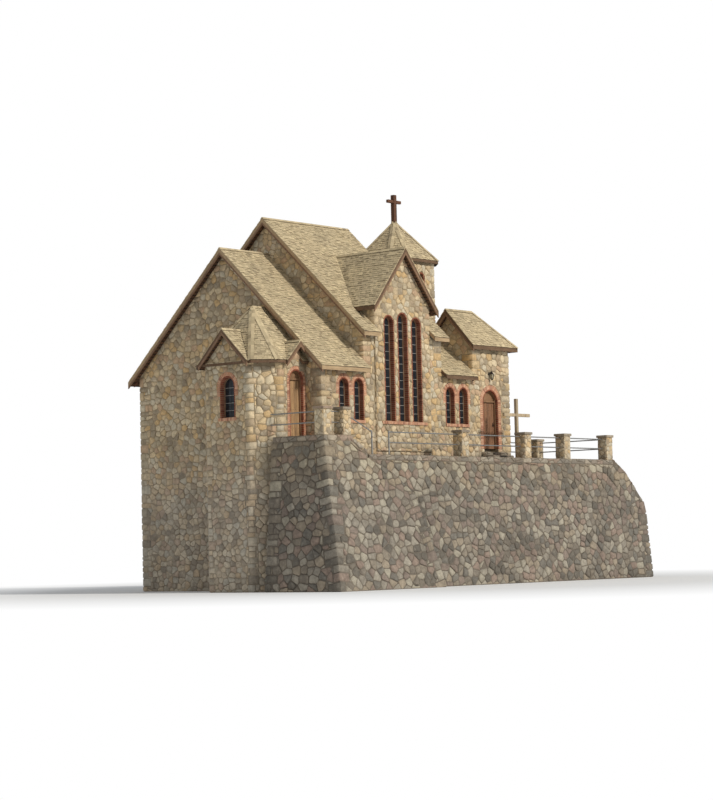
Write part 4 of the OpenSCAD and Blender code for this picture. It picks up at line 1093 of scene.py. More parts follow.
# Name, plain and worn colour, roughness and how metallic it is
METALS = (
    ("ironwork", (44, 43, 44), (86, 58, 42), 0.5, 0.8),
    ("bar_metal", (176, 174, 168), (120, 112, 102), 0.5, 0.5),
    ("rail_pipe", (150, 150, 148), (112, 98, 84), 0.42, 0.75),
)
FINISHES = {}
NODE_FINISH = {
    "brick_sills": "brick", "window_frames": "dark_wood", "window_glass": "window_glass",
    "door_frames": "frame_wood", "door_pintles": "ironwork", "porch_door": "grey_door_wood",
    "porch_door_straps": "ironwork", "annex_door": "door_wood", "annex_door_straps": "ironwork",
    "rail_pillars": "wall_mortar", "pipe_rails": "rail_pipe", "tower_cross": "beam_wood",
    "yard_cross": "pale_wood", "wall_lantern": "ironwork", "inner_floors": "paving_stone",
    "outer_paving": "base_mortar", "outer_steps": "base_mortar", "barge_boards": "dark_wood",
    **dict.fromkeys(WALLS, "wall_mortar"), **dict.fromkeys(BASES, "base_mortar"),
    **dict.fromkeys(DECKS, "roof_deck"), **dict.fromkeys(SMALL_DECKS, "small_roof_deck"),
}


class Finish(Web):
    """A material while it is made: its Principled BSDF and what feeds it."""

    def __init__(self, name, rough=0.85, metal=0.0):
        self.material = bpy.data.materials.new(name)
        self.material.use_nodes = True
        super().__init__(self.material.node_tree)
        self.shader = next(n for n in self.nodes if n.type == "BSDF_PRINCIPLED")
        self.give(Roughness=rough, Metallic=metal, Specular_IOR_Level=0.35)
        FINISHES[name] = self.material

    def give(self, **values):
        for key, value in values.items():
            self.feed(self.shader.inputs[key.replace("_", " ")], value)

    def tint(self):
        return self.add("ShaderNodeAttribute", attribute_name="tint")["Fac"]

    def relief(self, height, strength, distance):
        self.give(Normal=self.add("ShaderNodeBump", Strength=strength, Distance=distance,
                                  Height=height)[0])

    def weather(self, colour, stain, dust, size):
        self.give(Base_Color=self.group("weathering", Colour=colour, Stain=stain, Dust=dust,
                                        Size=size)[0])

    def near_ground(self, colour):
        return self.group("near_ground", Colour=colour, Top=7.2, Reach=3.0)[0]

    def facing_up(self):
        """How far the surface looks upwards."""
        normal = self.add("ShaderNodeNewGeometry")["Normal"]
        return self.add("ShaderNodeSeparateXYZ", normal)[2]


def stone_finish(name, colours, stain, dust, relief):
    """Rock-faced stone: each stone takes its colour from its tint, veined and pitted."""
    make = Finish(name, 0.9)
    tint = make.tint()
    colour = make.ramp(tint, [(i / len(colours), paint(*c)) for i, c in enumerate(colours)], True)
    moved = make.vector("ADD", make.spot(), make.times(tint, 31.0))
    mottle = make.noise(moved, 7.0, 6.0, 0.6)
    colour = make.shade(colour, mottle, (0.3, 0.74, 0.72, 0.69), (0.7, 1.2, 1.18, 1.13))
    veins = make.noise(make.stretch(moved, (1.0, 1.0, 3.2)), 16.0, 4.0)
    line = make.times(make.above(veins, 0.56, 4.0), 0.35)
    colour = make.blend(line, colour, paint(120, 84, 58))
    fine = make.noise(moved, 55.0, 4.0, 0.7)
    colour = make.shade(colour, fine, (0.35, 0.72, 0.70, 0.68), (0.65, 1.18, 1.17, 1.14), 0.8)
    make.weather(make.near_ground(colour), stain, dust, 0.9)
    grit = make.group("surface_grit", Size=34.0, Coarse=0.9)
    make.give(Roughness=make.plus(0.78, make.times(grit["Pits"], 0.15)))
    make.relief(grit["Height"], relief, 0.012)


def mortar_finish(name, colour, dark, stain):
    """Sandy mortar behind and between the stones."""
    make = Finish(name, 0.95)
    where = make.spot()
    base = make.ramp(make.noise(where, 1.6, 4.0), [(0.3, dark), (0.7, colour)])
    sand = make.noise(where, 60.0, 5.0, 0.75)
    base = make.shade(base, sand, (0.3, 0.7, 0.69, 0.67), (0.7, 1.2, 1.2, 1.18))
    make.weather(make.near_ground(base), stain, 0.15, 1.1)
    grit = make.group("surface_grit", Size=70.0, Coarse=0.6)
    make.relief(grit["Height"], 0.6, 0.01)


def brick_finish(name, deep):
    """Soft red brick with burnt and pale ones among them; a deep below 1 darkens it all as painted
    shade.
    """
    make = Finish(name, 0.88)
    base = make.ramp(make.tint(), [(spot, paint(*colour)) for spot, *colour in BRICKS])
    mottle = make.noise(make.spot(), 24.0, 5.0, 0.65)
    base = make.shade(base, mottle, (0.3, 0.74, 0.72, 0.7), (0.7, 1.2, 1.16, 1.12))
    # Painted shade: a deep below 1 darkens every brick, which makes a shaded copy of the brick
    base = make.blend(1.0, base, (deep, deep ** 1.8, deep ** 2.0, 1), "MULTIPLY")
    make.weather(base, 0.25, 0.35 * deep, 1.4)
    grit = make.group("surface_grit", Size=90.0, Coarse=0.4)
    make.relief(grit["Height"], 0.5, 0.006)


def shingle_finish(name):
    """Weathered shingles: tan, olive and grey-brown, with painted shade on the downward-facing butt
    ends, and fine grain.
    """
    make = Finish(name, 0.9)
    base = make.ramp(make.tint(), [(spot, paint(*colour)) for spot, *colour in SHINGLES])
    patch = make.noise(make.spot(), 0.9, 5.0)
    base = make.shade(base, patch, (0.3, 0.9, 0.9, 0.9), (0.7, 1.08, 1.07, 1.04))
    grit = make.group("surface_grit", Size=120.0, Coarse=0.4)
    base = make.shade(base, grit["Height"], (0.4, 0.78, 0.77, 0.75), (1.0, 1.2, 1.19, 1.17))
    # Painted shade: every face that looks downwards, the butt end of each shingle, is coloured dark
    # brown
    painted_butt_shade = make.maths("LESS_THAN", make.facing_up(), -0.15)
    make.weather(make.blend(painted_butt_shade, base, paint(92, 76, 56)), 0.12, 0.1, 0.6)
    make.relief(grit["Height"], 0.5, 0.006)


def wood_finish(name, light, dark, lengthways, tinted, stain=0.3, rough=0.72):
    """Sawn wood with long grain, darker late wood and weathered spots."""
    make = Finish(name, rough)
    shift = make.tint() if tinted else 0.0
    grain = make.group("wood_grain", Lengthways=(1, 1, lengthways), Size=11.0, Shift=shift)
    colour = make.ramp(grain["Grain"], [(0.36, dark), (0.52, light), (0.68, dark)])
    if tinted:
        colour = make.shade(colour, shift, (0.0, 0.78, 0.78, 0.78), (1.0, 1.18, 1.16, 1.14))
    make.weather(colour, stain, 0.15, 2.0)
    make.give(Roughness=make.plus(rough - 0.1, make.times(grain["Grain"], 0.25)))
    make.relief(grain["Height"], 0.35, 0.004)


def metal_finish(name, colour, worn, rough, metal):
    """Forged or galvanised metal with worn and rusty spots."""
    make = Finish(name, rough, metal)
    mask = make.above(make.noise(make.spot(), 11.0, 6.0, 0.65), 0.52, 5.0)
    make.give(Base_Color=make.blend(mask, paint(*colour), paint(*worn)),
              Roughness=make.plus(rough, make.times(mask, 0.25)))
    grit = make.group("surface_grit", Size=140.0, Coarse=0.4)
    make.relief(grit["Height"], 0.3, 0.002)


def glass_finish(name, colour, rough):
    """Dark old window glass with a slow ripple, and painted glints: lighter patches in its colour.
    """
    make = Finish(name, rough)
    ripple = make.noise(make.spot(), 5.0, 2.0)
    # Painted reflection: a lighter copy of the colour, spread over the glass by the ripple
    painted_glint = (*(min(c * 1.7, 1) for c in colour[:3]), 1)
    make.give(Base_Color=make.ramp(ripple, [(0.3, colour), (0.7, painted_glint)]),
              Transmission_Weight=0.0, Specular_IOR_Level=0.5)
    make.relief(ripple, 0.25, 0.01)


def roof_deck_finish(name, low_edge, high_edge):
    """Roof boards seen from below, and a fascia on their edges."""
    make = Finish(name, 0.85)
    wave = make.add("ShaderNodeTexWave", wave_type="BANDS", bands_direction="Z",
                    Vector=make.spot(), Scale=2.6, Distortion=0.3)["Fac"]
    grain = make.group("wood_grain", Lengthways=(0.1, 1.0, 1.0), Size=12.0)
    board = make.ramp(grain["Grain"], [(0.35, paint(84, 60, 44)), (0.65, paint(122, 90, 66))])
    board = make.blend(make.above(wave, 0.08, 9.0), paint(40, 30, 24), board)
    edge = make.ramp(grain["Grain"], [(0.35, paint(*low_edge)), (0.65, paint(*high_edge))])
    up = make.facing_up()
    colour = make.blend(make.maths("LESS_THAN", up, -0.2), edge, board)
    colour = make.blend(make.maths("GREATER_THAN", up, 0.2), colour, paint(104, 92, 74))
    make.weather(colour, 0.3, 0.1, 1.2)
    make.relief(grain["Height"], 0.3, 0.004)


def make_finishes(look):
    """Every shared node group and every material."""
    for make_group in (make_weather_group, make_ground_group, make_grit_group, make_grain_group,
                       make_unit_tree):
        make_group()
    stone_finish("fieldstone", FIELD, look.stain, 0.25, 0.75)
    stone_finish("rubble", RUBBLE, look.stain + 0.1, 0.2, 0.85)
    stone_finish("paving_stone", SLABS, look.stain, 0.3, 0.4)
    mortar_finish("wall_mortar", tuple(look.mortar), paint(150, 132, 106), 0.3)
    mortar_finish("base_mortar", paint(146, 132, 112), paint(118, 104, 88), 0.35)
    brick_finish("brick", 1.0)
    # A darker copy of the brick, painted shade for the linings inside the reveals
    brick_finish("shaded_reveal_brick", 0.55)
    shingle_finish("roof_shingle")
    roof_deck_finish("roof_deck", (160, 134, 102), (190, 164, 128))
    roof_deck_finish("small_roof_deck", (96, 74, 56), (124, 98, 74))
    wood_finish("dark_wood", tuple(look.trim), paint(112, 86, 66), 0.25, False)
    for name, light, dark, lengthways, tinted in WOODS:
        wood_finish(name, paint(*light), paint(*dark), lengthways, tinted)
    glass_finish("window_glass", paint(34, 38, 42), 0.12)
    glass_finish("lamp_glass", paint(150, 142, 118), 0.3)
    for row in METALS:
        metal_finish(*row)


# Laying stones


def side_name(out):
    """The side of the chapel that a direction looks to."""
    if abs(out.y) > 0.5:
        return "front" if out.y < 0 else "back"
    return "near_end" if out.x < 0 else "far_end"


def quoin_reach(face):
    """How far a corner stone may run along a face."""
    side = face.narrow()
    return side - SKIN if side < STRIP else 0.4 * side


def lay_quoins(corners, heaps, sizes, tall, rise, gap, rng):
    """Long and short corner stones in turn, up every outside corner."""
    for corner in corners:
        at = 0.0
        turn = rng.random() < 0.5
        most_a, most_b = quoin_reach(corner.a), quoin_reach(corner.b)
        blunt = corner.a.out.dot(corner.b.out) > 0.3
        while at < corner.long - 0.06:
            high = at + tall * rng.uniform(0.65, 1.45)
            if corner.long - high < tall * 0.7:
                high = corner.long
            long, short = tall * rng.uniform(1.5, 2.2), tall * rng.uniform(0.8, 1.2)
            if blunt:
                long, short = tall * rng.uniform(0.5, 1.2), tall * rng.uniform(0.4, 0.9)
            if turn:
                long, short = short, long
            turn = not turn if rng.random() < 0.85 else turn
            long_a, long_b = min(long, most_a), min(short, most_b)
            middle = corner.foot + corner.along * ((at + high) / 2)
            spot_a = middle + corner.into_a * min(0.1, most_a * 0.5)
            spot_b = middle + corner.into_b * min(0.1, most_b * 0.5)
            whole = corner.a.holds(spot_a) and corner.b.holds(spot_b)
            if (whole and not at_brickwork(middle, Site.openings, sizes)
                    and (open_air(spot_a, corner.a.out) or open_air(spot_b, corner.b.out))):
                heap = heaps.setdefault(side_name(corner.a.out), Heap())
                heap.add_quoin(corner, at, high, long_a, long_b, rise * rng.uniform(0.9, 1.4),
                               gap, rng.random(), rng)
                a, b = (corner.foot + corner.along * t for t in (at, high))
                for face, into in ((corner.a, corner.into_a * long_a),
                                   (corner.b, corner.into_b * long_b)):
                    face.taken.append([face.flat(p) for p in (a, a + into, b + into, b)])
            at = high


def swell(spot, face, ledges, reach=0.5):
    """How far a stone is raised towards a proud edge beside it."""
    most = 0.0
    for ledge in ledges:
        away = ledge.out.dot(spot) - ledge.offset
        if not 0 <= away < reach or abs(ledge.out.dot(face.out)) > 0.2:
            continue
        if ledge.holds(spot - ledge.out * away + face.out * 0.03):
            most = max(most, ledge.narrow() * (1 - away / reach))
    return most


def lay_stonework(nodes, label, finish, slot, sizes, wide, tall, rise, gap, narrowest, seed,
                  quoins=True, highest=0.6):
    """Stones on every open face of some nodes that isn't too level, as one piece per side."""
    Site.survey(sizes)
    faces = separate_parts(gather_faces(nodes, lambda n: -0.6 < n.z < highest))
    faces = [face for face in faces if not is_reveal(face, Site.openings)]
    broad = [face for face in faces if face.narrow() >= narrowest]
    heaps = {}
    ledges = []
    if quoins:
        strips = [face for face in faces if 0.04 < face.narrow() < STRIP]
        under = separate_parts(gather_faces(nodes, lambda n: n.z < -0.9))
        ledges = strips + [face for face in under if 0.04 < face.narrow() < STRIP]
        corners = outside_corners(broad + strips)
        lay_quoins(corners, heaps, sizes, tall * 1.15, rise, gap, random.Random(seed * 13))
    for number, face in enumerate(broad):
        rng = random.Random(seed * 1000 + number)
        for opening in Site.openings:
            if opening.out.dot(face.out) > 0.99 and abs(opening.offset - face.offset) < 0.08:
                face.taken.append([face.flat(opening.spot(*p)) for p in opening.outline(sizes)])
        low, high = face.box()

        def usable(x, y):
            spot = face.spot(min(max(x, low[0] + 0.02), high[0] - 0.02),
                             min(max(y, low[1] + 0.02), high[1] - 0.02))
            return open_air(spot, face.out) or open_air(spot - face.v * tall, face.out)

        cells = lay_cells(low, high, wide, tall, rng, usable)
        if not cells:
            continue
        heap = heaps.setdefault(side_name(face.out), Heap())
        whole = cut_cells(cells, face.loops, face.taken)
        for poly in [part for poly in whole for part in convex_parts(poly)]:
            middle = face.spot(*centre(poly))
            if signed_area(poly) < 0.0022 or not open_air(middle, face.out):
                continue
            lift = swell(middle, face, ledges)
            heap.add_stone(
                face, poly, rise=rise * rng.uniform(0.45, 1.6) + lift,
                gap=gap * rng.uniform(0.7, 1.4), bevel=rise * rng.uniform(0.5, 1.0),
                crown=rise * rng.uniform(0.0, 0.45), tint=rng.random(), rng=rng,
            )
    for key in sorted(heaps):
        heaps[key].piece(f"{label}_{key}", finish, slot, smooth=True)


# Laying shingles


def level_cuts(loops, height):
    """Where a level line at a height runs inside the loops."""
    cuts = sorted(x0 + (x1 - x0) * (height - y0) / (y1 - y0) for loop in loops
                  for (x0, y0), (x1, y1) in sides(loop) if (y0 > height) != (y1 > height))
    return list(zip(cuts[::2], cuts[1::2]))


def runs_of(marks, least=1):
    """First and past-last place of each run of true marks."""
    begun = None
    for i, mark in enumerate([*marks, False]):
        if mark and begun is None:
            begun = i
        if not mark and begun is not None:
            if i - begun >= least:
                yield begun, i
            begun = None


def open_runs(face, left, right, height, step=0.08):
    """The open parts of a level line on a roof face."""
    count = max(2, int((right - left) / step) + 1)
    xs = [left + (right - left) * i / count for i in range(count + 1)]
    marks = []
    for x in xs:
        start = face.spot(min(max(x, left + 0.02), right - 0.02), height, 0.012)
        marks.append(not Site.meets(start, face.out, 0.1) and not Site.meets(start, UP, 0.25))
    return [(xs[begun], xs[end] if end <= count else right) for begun, end in runs_of(marks)]


def lay_course(guide, face, left, right, foot, long, sizes, rng):
    """One course: shingles of uneven width that fill the run exactly."""
    run = right - left
    if run < 0.05:
        return
    widths = []
    while sum(widths) < run - sizes.shingle_width * 0.3:
        widths.append(sizes.shingle_width * rng.uniform(0.55, 1.45))
    widths = widths or [run]
    fit = run / sum(widths)
    at = left
    for width in widths:
        width *= fit
        spot = face.spot(at + width / 2, foot + long / 2 + rng.uniform(0.0, 0.012))
        thick = rng.uniform(1.2, 1.9) if rng.random() < 0.45 else rng.uniform(0.6, 1.0)
        guide.point(spot, face.out, face.v, (max(width - 0.006, 0.02), 1, thick))
        at += width


def ridge_turn(face, inward, spot, faces):
    """The angle to the face beyond a ridge or hip at a spot on this face's edge, or zero."""
    for other in faces:
        if other.out.dot(inward) > -0.05 or not other.level_with(spot, 0.03):
            continue
        beyond = other.out.cross(other.out.cross(face.out).normalized())
        if beyond.dot(face.out) > 0:
            beyond = -beyond
        if abs(signed_area(other.loops[0])) > 0.1 and other.holds(spot + beyond * 0.03):
            return face.out.angle(other.out)
    return 0.0


def guide_caps(guide, faces):
    """Caps on both sides of every edge from which two roof faces fall away."""
    for face in faces:
        for loop, a, _, long, along, inward in face.edges(0.3):
            if signed_area(loop) < 0.1:
                continue
            count = max(2, int(long / 0.1))
            marks = []
            for k in range(count):
                spot = a + along * long * (k + 0.5) / count
                turn = ridge_turn(face, inward, spot, faces)
                marks.append(0.0 if Site.meets(spot + face.out * 0.05, UP, 0.3) else turn)
            for begun, end in runs_of(marks, 4):
                p = a + along * (long * begun / count + CAP_LONG / 2)
                q = a + along * (long * end / count - CAP_LONG / 2)
                over = CAP_LIFT * math.tan(marks[begun] / 2)
                move = inward * (CAP_WIDE / 2 - over) + face.out * CAP_LIFT
                guide.line([p + move, q + move], face.out, [inward, inward])


# Settings


def length(name, text, value):
    return bpy.props.FloatProperty(name=name, description=text, default=value, unit="LENGTH")


class ChapelSizes(bpy.types.PropertyGroup):
    stone_length: length("Stone Length", "Usual length of a wall stone", 0.30)
    stone_height: length("Stone Height", "Usual height of a wall stone", 0.215)
    stone_rise: length("Stone Rise", "How far a wall stone stands out", 0.023)
    joint: length("Joint", "Width of the joints between stones", 0.020)
    rubble_length: length("Rubble Length", "Usual length of a base stone", 0.40)
    rubble_height: length("Rubble Height", "Usual height of a base stone", 0.25)
    door_ring: length("Door Ring", "Width of the brick rings round the doors", 0.23)
    window_ring: length("Window Ring", "Width of the brick arches over small windows", 0.195)
    lining: length("Lining", "Width of the brick lining at an opening's edge", 0.05)
    brick_pitch: length("Brick Pitch", "A brick and its joint, along a ring", 0.078)
    course: length("Shingle Course", "Height of a shingle course on the slope", 0.12)
    shingle_width: length("Shingle Width", "Usual width of a shingle", 0.16)
    window_reveal: length("Window Reveal", "How far the window frames stand back", 0.18)
    door_recess: length("Door Recess", "How far the door frames stand back", 0.11)
    seed: bpy.props.IntProperty(
        name="Seed", description="Start value of every random draw", default=7)


class ChapelLook(bpy.types.PropertyGroup):
    mortar: bpy.props.FloatVectorProperty(
        name="Mortar", description="Colour of the wall mortar", subtype="COLOR", size=4,
        default=paint(196, 178, 148))
    trim: bpy.props.FloatVectorProperty(
        name="Trim", description="Colour of the barge boards and frames", subtype="COLOR", size=4,
        default=paint(148, 116, 90))
    stain: bpy.props.FloatProperty(
        name="Stain", description="How much weather shows on the stone", default=0.3,
        subtype="FACTOR", min=0.0, max=1.0)
    key_light: bpy.props.FloatProperty(
        name="Key Light", description="Strength of the sun lamp", default=2.35, min=0.0)
    sky_light: bpy.props.FloatProperty(
        name="Sky Light", description="Strength of the even light all round", default=0.42, min=0.0)


# Operators


class CHAPEL_OT_finishes(bpy.types.Operator):
    """Make every material and dress the frame's own nodes"""

    bl_idname = "chapel.finishes"
    bl_label = "Finishes"

    def execute(self, context):
        make_finishes(context.scene.chapel_look)
        for name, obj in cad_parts.items():
            obj.data.materials.clear()
            obj.data.materials.append(FINISHES[NODE_FINISH[name]])
        return {"FINISHED"}


class CHAPEL_OT_wall_stones(bpy.types.Operator):
    """Lay the fieldstones of the upper walls"""

    bl_idname = "chapel.wall_stones"
    bl_label = "Wall Stones"

    def execute(self, context):
        s = context.scene.chapel_sizes
        lay_stonework(WALLS, "wall_stones", "fieldstone", "fieldstone", s, wide=s.stone_length,
                      tall=s.stone_height, rise=s.stone_rise, gap=s.joint, narrowest=0.3,
                      seed=s.seed)
        return {"FINISHED"}


class CHAPEL_OT_base_stones(bpy.types.Operator):
    """Lay the rubble of the base, the bastion and the terrace"""

    bl_idname = "chapel.base_stones"
    bl_label = "Base Stones"

    def execute(self, context):
        s = context.scene.chapel_sizes
        lay_stonework(BASES, "base_stones", "rubble", "rubble", s, wide=s.rubble_length,
                      tall=s.rubble_height, rise=s.stone_rise * 1.4, gap=s.joint * 1.2,
                      narrowest=0.3, seed=s.seed + 1, highest=0.97)
        lay_stonework(PAVED, "edge_stones", "paving_stone", "paving", s, wide=SLAB_WIDE, tall=0.26,
                      rise=s.stone_rise * 0.9, gap=s.joint * 0.8, narrowest=0.1,
                      seed=s.seed + 3, quoins=False)
        return {"FINISHED"}


class CHAPEL_OT_pillar_stones(bpy.types.Operator):
    """Lay the stones of the rail pillars"""

    bl_idname = "chapel.pillar_stones"
    bl_label = "Pillar Stones"

    def execute(self, context):
        s = context.scene.chapel_sizes
        lay_stonework(("rail_pillars",), "pillar_stones", "fieldstone", "fieldstone", s,
                      wide=0.27, tall=0.17, rise=s.stone_rise * 0.6, gap=s.joint * 0.8,
                      narrowest=0.2, seed=s.seed + 2, quoins=False)
        return {"FINISHED"}


class CHAPEL_OT_paving(bpy.types.Operator):
    """Lay the flagstones of the platform, the terrace and the steps"""

    bl_idname = "chapel.paving"
    bl_label = "Paving"

    def execute(self, context):
        s = context.scene.chapel_sizes
        Site.survey(s)
        heap = Heap()
        for number, face in enumerate(gather_faces(PAVED, lambda n: n.z > 0.9)):
            rng = random.Random(s.seed * 77 + number)
            cells = lay_cells(*face.box(), SLAB_LONG, SLAB_WIDE, rng, loose=0.2)
            for poly in cut_cells(cells, face.loops):
                covered = Site.meets(face.spot(*centre(poly), SKIN), UP, 0.3)
                if signed_area(poly) >= 0.006 and not covered:
                    heap.add_stone(face, poly, rise=0.009, gap=0.014, bevel=0.004, crown=0.0,
                                   tint=rng.random(), rng=rng, rounding=0.1)
        heap.piece("paving_slabs", "paving_stone", "paving", smooth=True)
        return {"FINISHED"}


class CHAPEL_OT_brickwork(bpy.types.Operator):
    """Lay the brick rings round doors and windows, and the sills"""

    bl_idname = "chapel.brickwork"
    bl_label = "Brickwork"

    def execute(self, context):
        s = context.scene.chapel_sizes
        Site.survey(s)
        linings, rings, sills = Guide(), Guide(), Guide()

        def ring(guide, opening, grow, foot, lift, share):
            row = opening.path(grow, max(foot, opening.foot + 0.04))
            guide.line([opening.spot(*p, lift) for p, _ in row], opening.out,
                       [opening.u * x + UP * y for _, (x, y) in row], share)

        for opening in Site.openings:
            deep = (s.door_recess if opening.is_door else s.window_reveal) - BEHIND + PROUD
            ring(linings, opening, s.lining / 2 - 0.002, opening.foot, PROUD - deep / 2,
                 (1, 1, deep / s.window_reveal))
            wide, start = opening.ring(s)
            rest = wide - s.lining
            if wide > s.lining:
                ring(rings, opening, s.lining + rest / 2, start, -0.004,
                     (1, rest / s.window_ring, 1))
        # The linings take the darker brick copy, painted shade in the reveals
        linings.lay("lining_bricks", "shaded_reveal_brick", "brick", Pitch=s.brick_pitch, Chamfer=0.004,
                    Size=(s.brick_pitch - 0.011, s.lining, s.window_reveal), Uneven=0.004,
                    Seed=s.seed)
        rings.lay("ring_bricks", "brick", "brick", Pitch=s.brick_pitch, Chamfer=0.004,
                  Size=(s.brick_pitch - 0.011, s.window_ring, 0.036), Uneven=0.012,
                  Seed=s.seed + 1)
        boxes = solid_boxes("brick_sills")
        for low, high in boxes:
            size = high - low
            along, side = Vector((1, 0, 0)), Vector((0, 1, 0))
            if size.x <= size.y:
                along, side = side, along
            long = abs(along.dot(size))
            count = max(1, round(long / s.brick_pitch))
            for k in range(count):
                spot = (low + high) / 2 + along * (((k + 0.5) / count - 0.5) * long)
                sills.point(spot, UP, side, (long / count / s.brick_pitch, 1, 1))
        deep = min(min(high.x - low.x, high.y - low.y) for low, high in boxes)
        tall = boxes[0][1].z - boxes[0][0].z
        piece = sills.lay("sill_bricks", "brick", "brick", Chamfer=0.006, Uneven=0.01,
                          Size=(s.brick_pitch - 0.009, deep + 0.006, tall + 0.006),
                          Seed=s.seed + 4)
        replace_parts(piece, "brick_sills")
        return {"FINISHED"}


class CHAPEL_OT_shingles(bpy.types.Operator):
    """Lay the shingle courses and the ridge and hip caps"""

    bl_idname = "chapel.shingles"
    bl_label = "Shingles"

    def execute(self, context):
        s = context.scene.chapel_sizes
        Site.survey(s)
        faces = gather_faces(ROOFS, lambda n: n.z > 0.3)
        guides = {"front": Guide(), "back": Guide(), "small": Guide()}
        rng = random.Random(s.seed + 50)
        long = s.course * 1.25
        for face in faces:
            (left, foot), (right, head) = face.box()
            key = "front" if face.out.y < 0 else "back"
            if (right - left) * (head - foot) <= 9:
                key = "small"
            count = max(1, round((head - foot) / s.course))
            step = (head - foot) / count
            for k in range(count):
                line = foot + k * step + step * 0.5
                for start, end in level_cuts(face.loops, line):
                    for a, b in open_runs(face, start, end, line):
                        lay_course(guides[key], face, a, b, foot + k * step, long, s, rng)
        for key, guide in guides.items():
            guide.lay(f"shingles_{key}", "roof_shingle", "roofing", Chamfer=0.002,
                      Lift=SHINGLE_LIFT, Size=(1.0, long, SHINGLE_THICK), Tilt=-0.075,
                      Uneven=0.008, Seed=s.seed + 20)
        caps = Guide()
        guide_caps(caps, faces)
        caps.lay("ridge_caps", "roof_shingle", "roofing", Pitch=CAP_LONG * 0.93,
                 Size=(CAP_LONG, CAP_WIDE, SHINGLE_THICK), Chamfer=0.004, Uneven=0.012,
                 Seed=s.seed + 30)
        return {"FINISHED"}


class CHAPEL_OT_window_bars(bpy.types.Operator):
    """Set the saddle bars and the lead lines before the glass"""

    bl_idname = "chapel.window_bars"
    bl_label = "Window Bars"

    def execute(self, context):
        s = context.scene.chapel_sizes
        Site.survey(s)
        bars, leads = Heap(), Heap()
        rng = random.Random(s.seed + 60)
        for opening in Site.windows:
            inner, foot, top = opening.wide - 2 * 0.045, opening.foot, opening.spring
            turn = Matrix((opening.u, opening.out, UP)).transposed()
            left, right = opening.mid - inner / 2, opening.mid + inner / 2
            y = opening.offset - s.window_reveal - BAR_BACK
            count = max(1, round((top - foot) / BAR_PITCH))
            for k in range(1, count + 1):
                z = foot + (top - foot) * k / (count + 0.2)
                bars.add_block((left, y - BAR_HALF, z - BAR_HALF),
                               (right, y + BAR_HALF, z + BAR_HALF), 0.003, rng.random(), turn)
            y = opening.offset - s.window_reveal - LEAD_BACK

            def lead(x0, x1, z0, z1):
                leads.add_block((x0, y - LEAD_DEEP, z0), (x1, y + LEAD_DEEP, z1), 0.002, 0.5, turn)

            lines = max(1, round(inner / LEAD_PITCH))
            for k in range(1, lines):
                x = left + inner * k / lines
                rise = math.sqrt(max((inner / 2) ** 2 - (x - opening.mid) ** 2, 0.0))
                lead(x - LEAD_WIDE, x + LEAD_WIDE, foot + 0.04, top + rise - 0.004)
            rows = max(2, round((top - foot) / LEAD_ROW))
            for k in range(1, rows):
                z = foot + 0.04 + (top - foot) * k / rows
                lead(left, right, z - LEAD_WIDE, z + LEAD_WIDE)
        bars.piece("saddle_bars", "bar_metal", "ironwork")
        leads.piece("lead_lines", "ironwork", "ironwork")
        return {"FINISHED"}


class CHAPEL_OT_doors(bpy.types.Operator):
    """Build the two plank doors with their ledges, studs and ring handles"""

    bl_idname = "chapel.doors"
    bl_label = "Doors"

    def execute(self, context):
        s = context.scene.chapel_sizes
        for node, body, finish, handle in (
            ("porch_door", "porch_leaf", "grey_door_wood", "low"),
            ("annex_door", "annex_leaf", "door_wood", "high"),
        ):
            low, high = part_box(node)
            rng = random.Random(s.seed + len(node))
            wood, iron = Heap(), Heap()
            count = max(3, round((high.x - low.x) / PLANK))
            step = (high.x - low.x) / count
            back = high.y - LEDGE_THICK
            for k in range(count):
                wood.add_block((low.x + k * step + PLANK_GAP, low.y, low.z),
                               (low.x + (k + 1) * step - PLANK_GAP, back, high.z), EASED,
                               rng.random())
            for z in (low.z + LEDGE_LOW, (low.z + high.z) / 2, high.z - LEDGE_HIGH):
                wood.add_block((low.x + 0.02, back, z - LEDGE_HALF),
                               (high.x - 0.02, high.y, z + LEDGE_HALF), EASED, rng.random())
                for k in range(count):
                    self.stud(iron, Vector((low.x + (k + 0.5) * step, low.y, z)), 0.011)
            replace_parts(wood.piece(f"{node}_planks", finish, "door_wood", body), node)
            x = low.x + HANDLE_IN if handle == "low" else high.x - HANDLE_IN
            z = low.z + HANDLE_UP
            iron.add_block((x - 0.028, low.y - 0.006, z - 0.09), (x + 0.028, low.y, z + 0.09),
                           0.002, 0.3)
            self.ring(iron, Vector((x, low.y - 0.014, z)), 0.042, 0.007)
            iron.piece(f"{node}_fittings", "ironwork", "ironwork", body)
        return {"FINISHED"}

    @staticmethod
    def stud(heap, spot, radius):
        """A small pyramid-headed nail on a face that looks along -Y."""
        ways = [math.tau * k / 6 for k in range(6)]
        rings = [[spot + Vector((math.cos(way) * reach, -out, math.sin(way) * reach))
                  for way in ways] for reach, out in ((radius, 0.0), (radius * 0.8, 0.005))]
        heap.add_rings(rings, peak=spot + Vector((0, -0.009, 0)))

    @staticmethod
    def ring(heap, middle, radius, thick, rounds=20, around=6):
        """A hanging ring in the plane of the door."""
        rings = []
        for turn in (math.tau * i / rounds for i in range(rounds)):
            rolls = [math.tau * j / around for j in range(around)]
            reaches = [radius + thick * math.cos(roll) for roll in rolls]
            rings.append([
                middle + Vector((reach * math.cos(turn), thick * math.sin(roll),
                                 reach * math.sin(turn) - radius * 0.6))
                for roll, reach in zip(rolls, reaches)
            ])
        heap.add_rings(rings, joined=True)


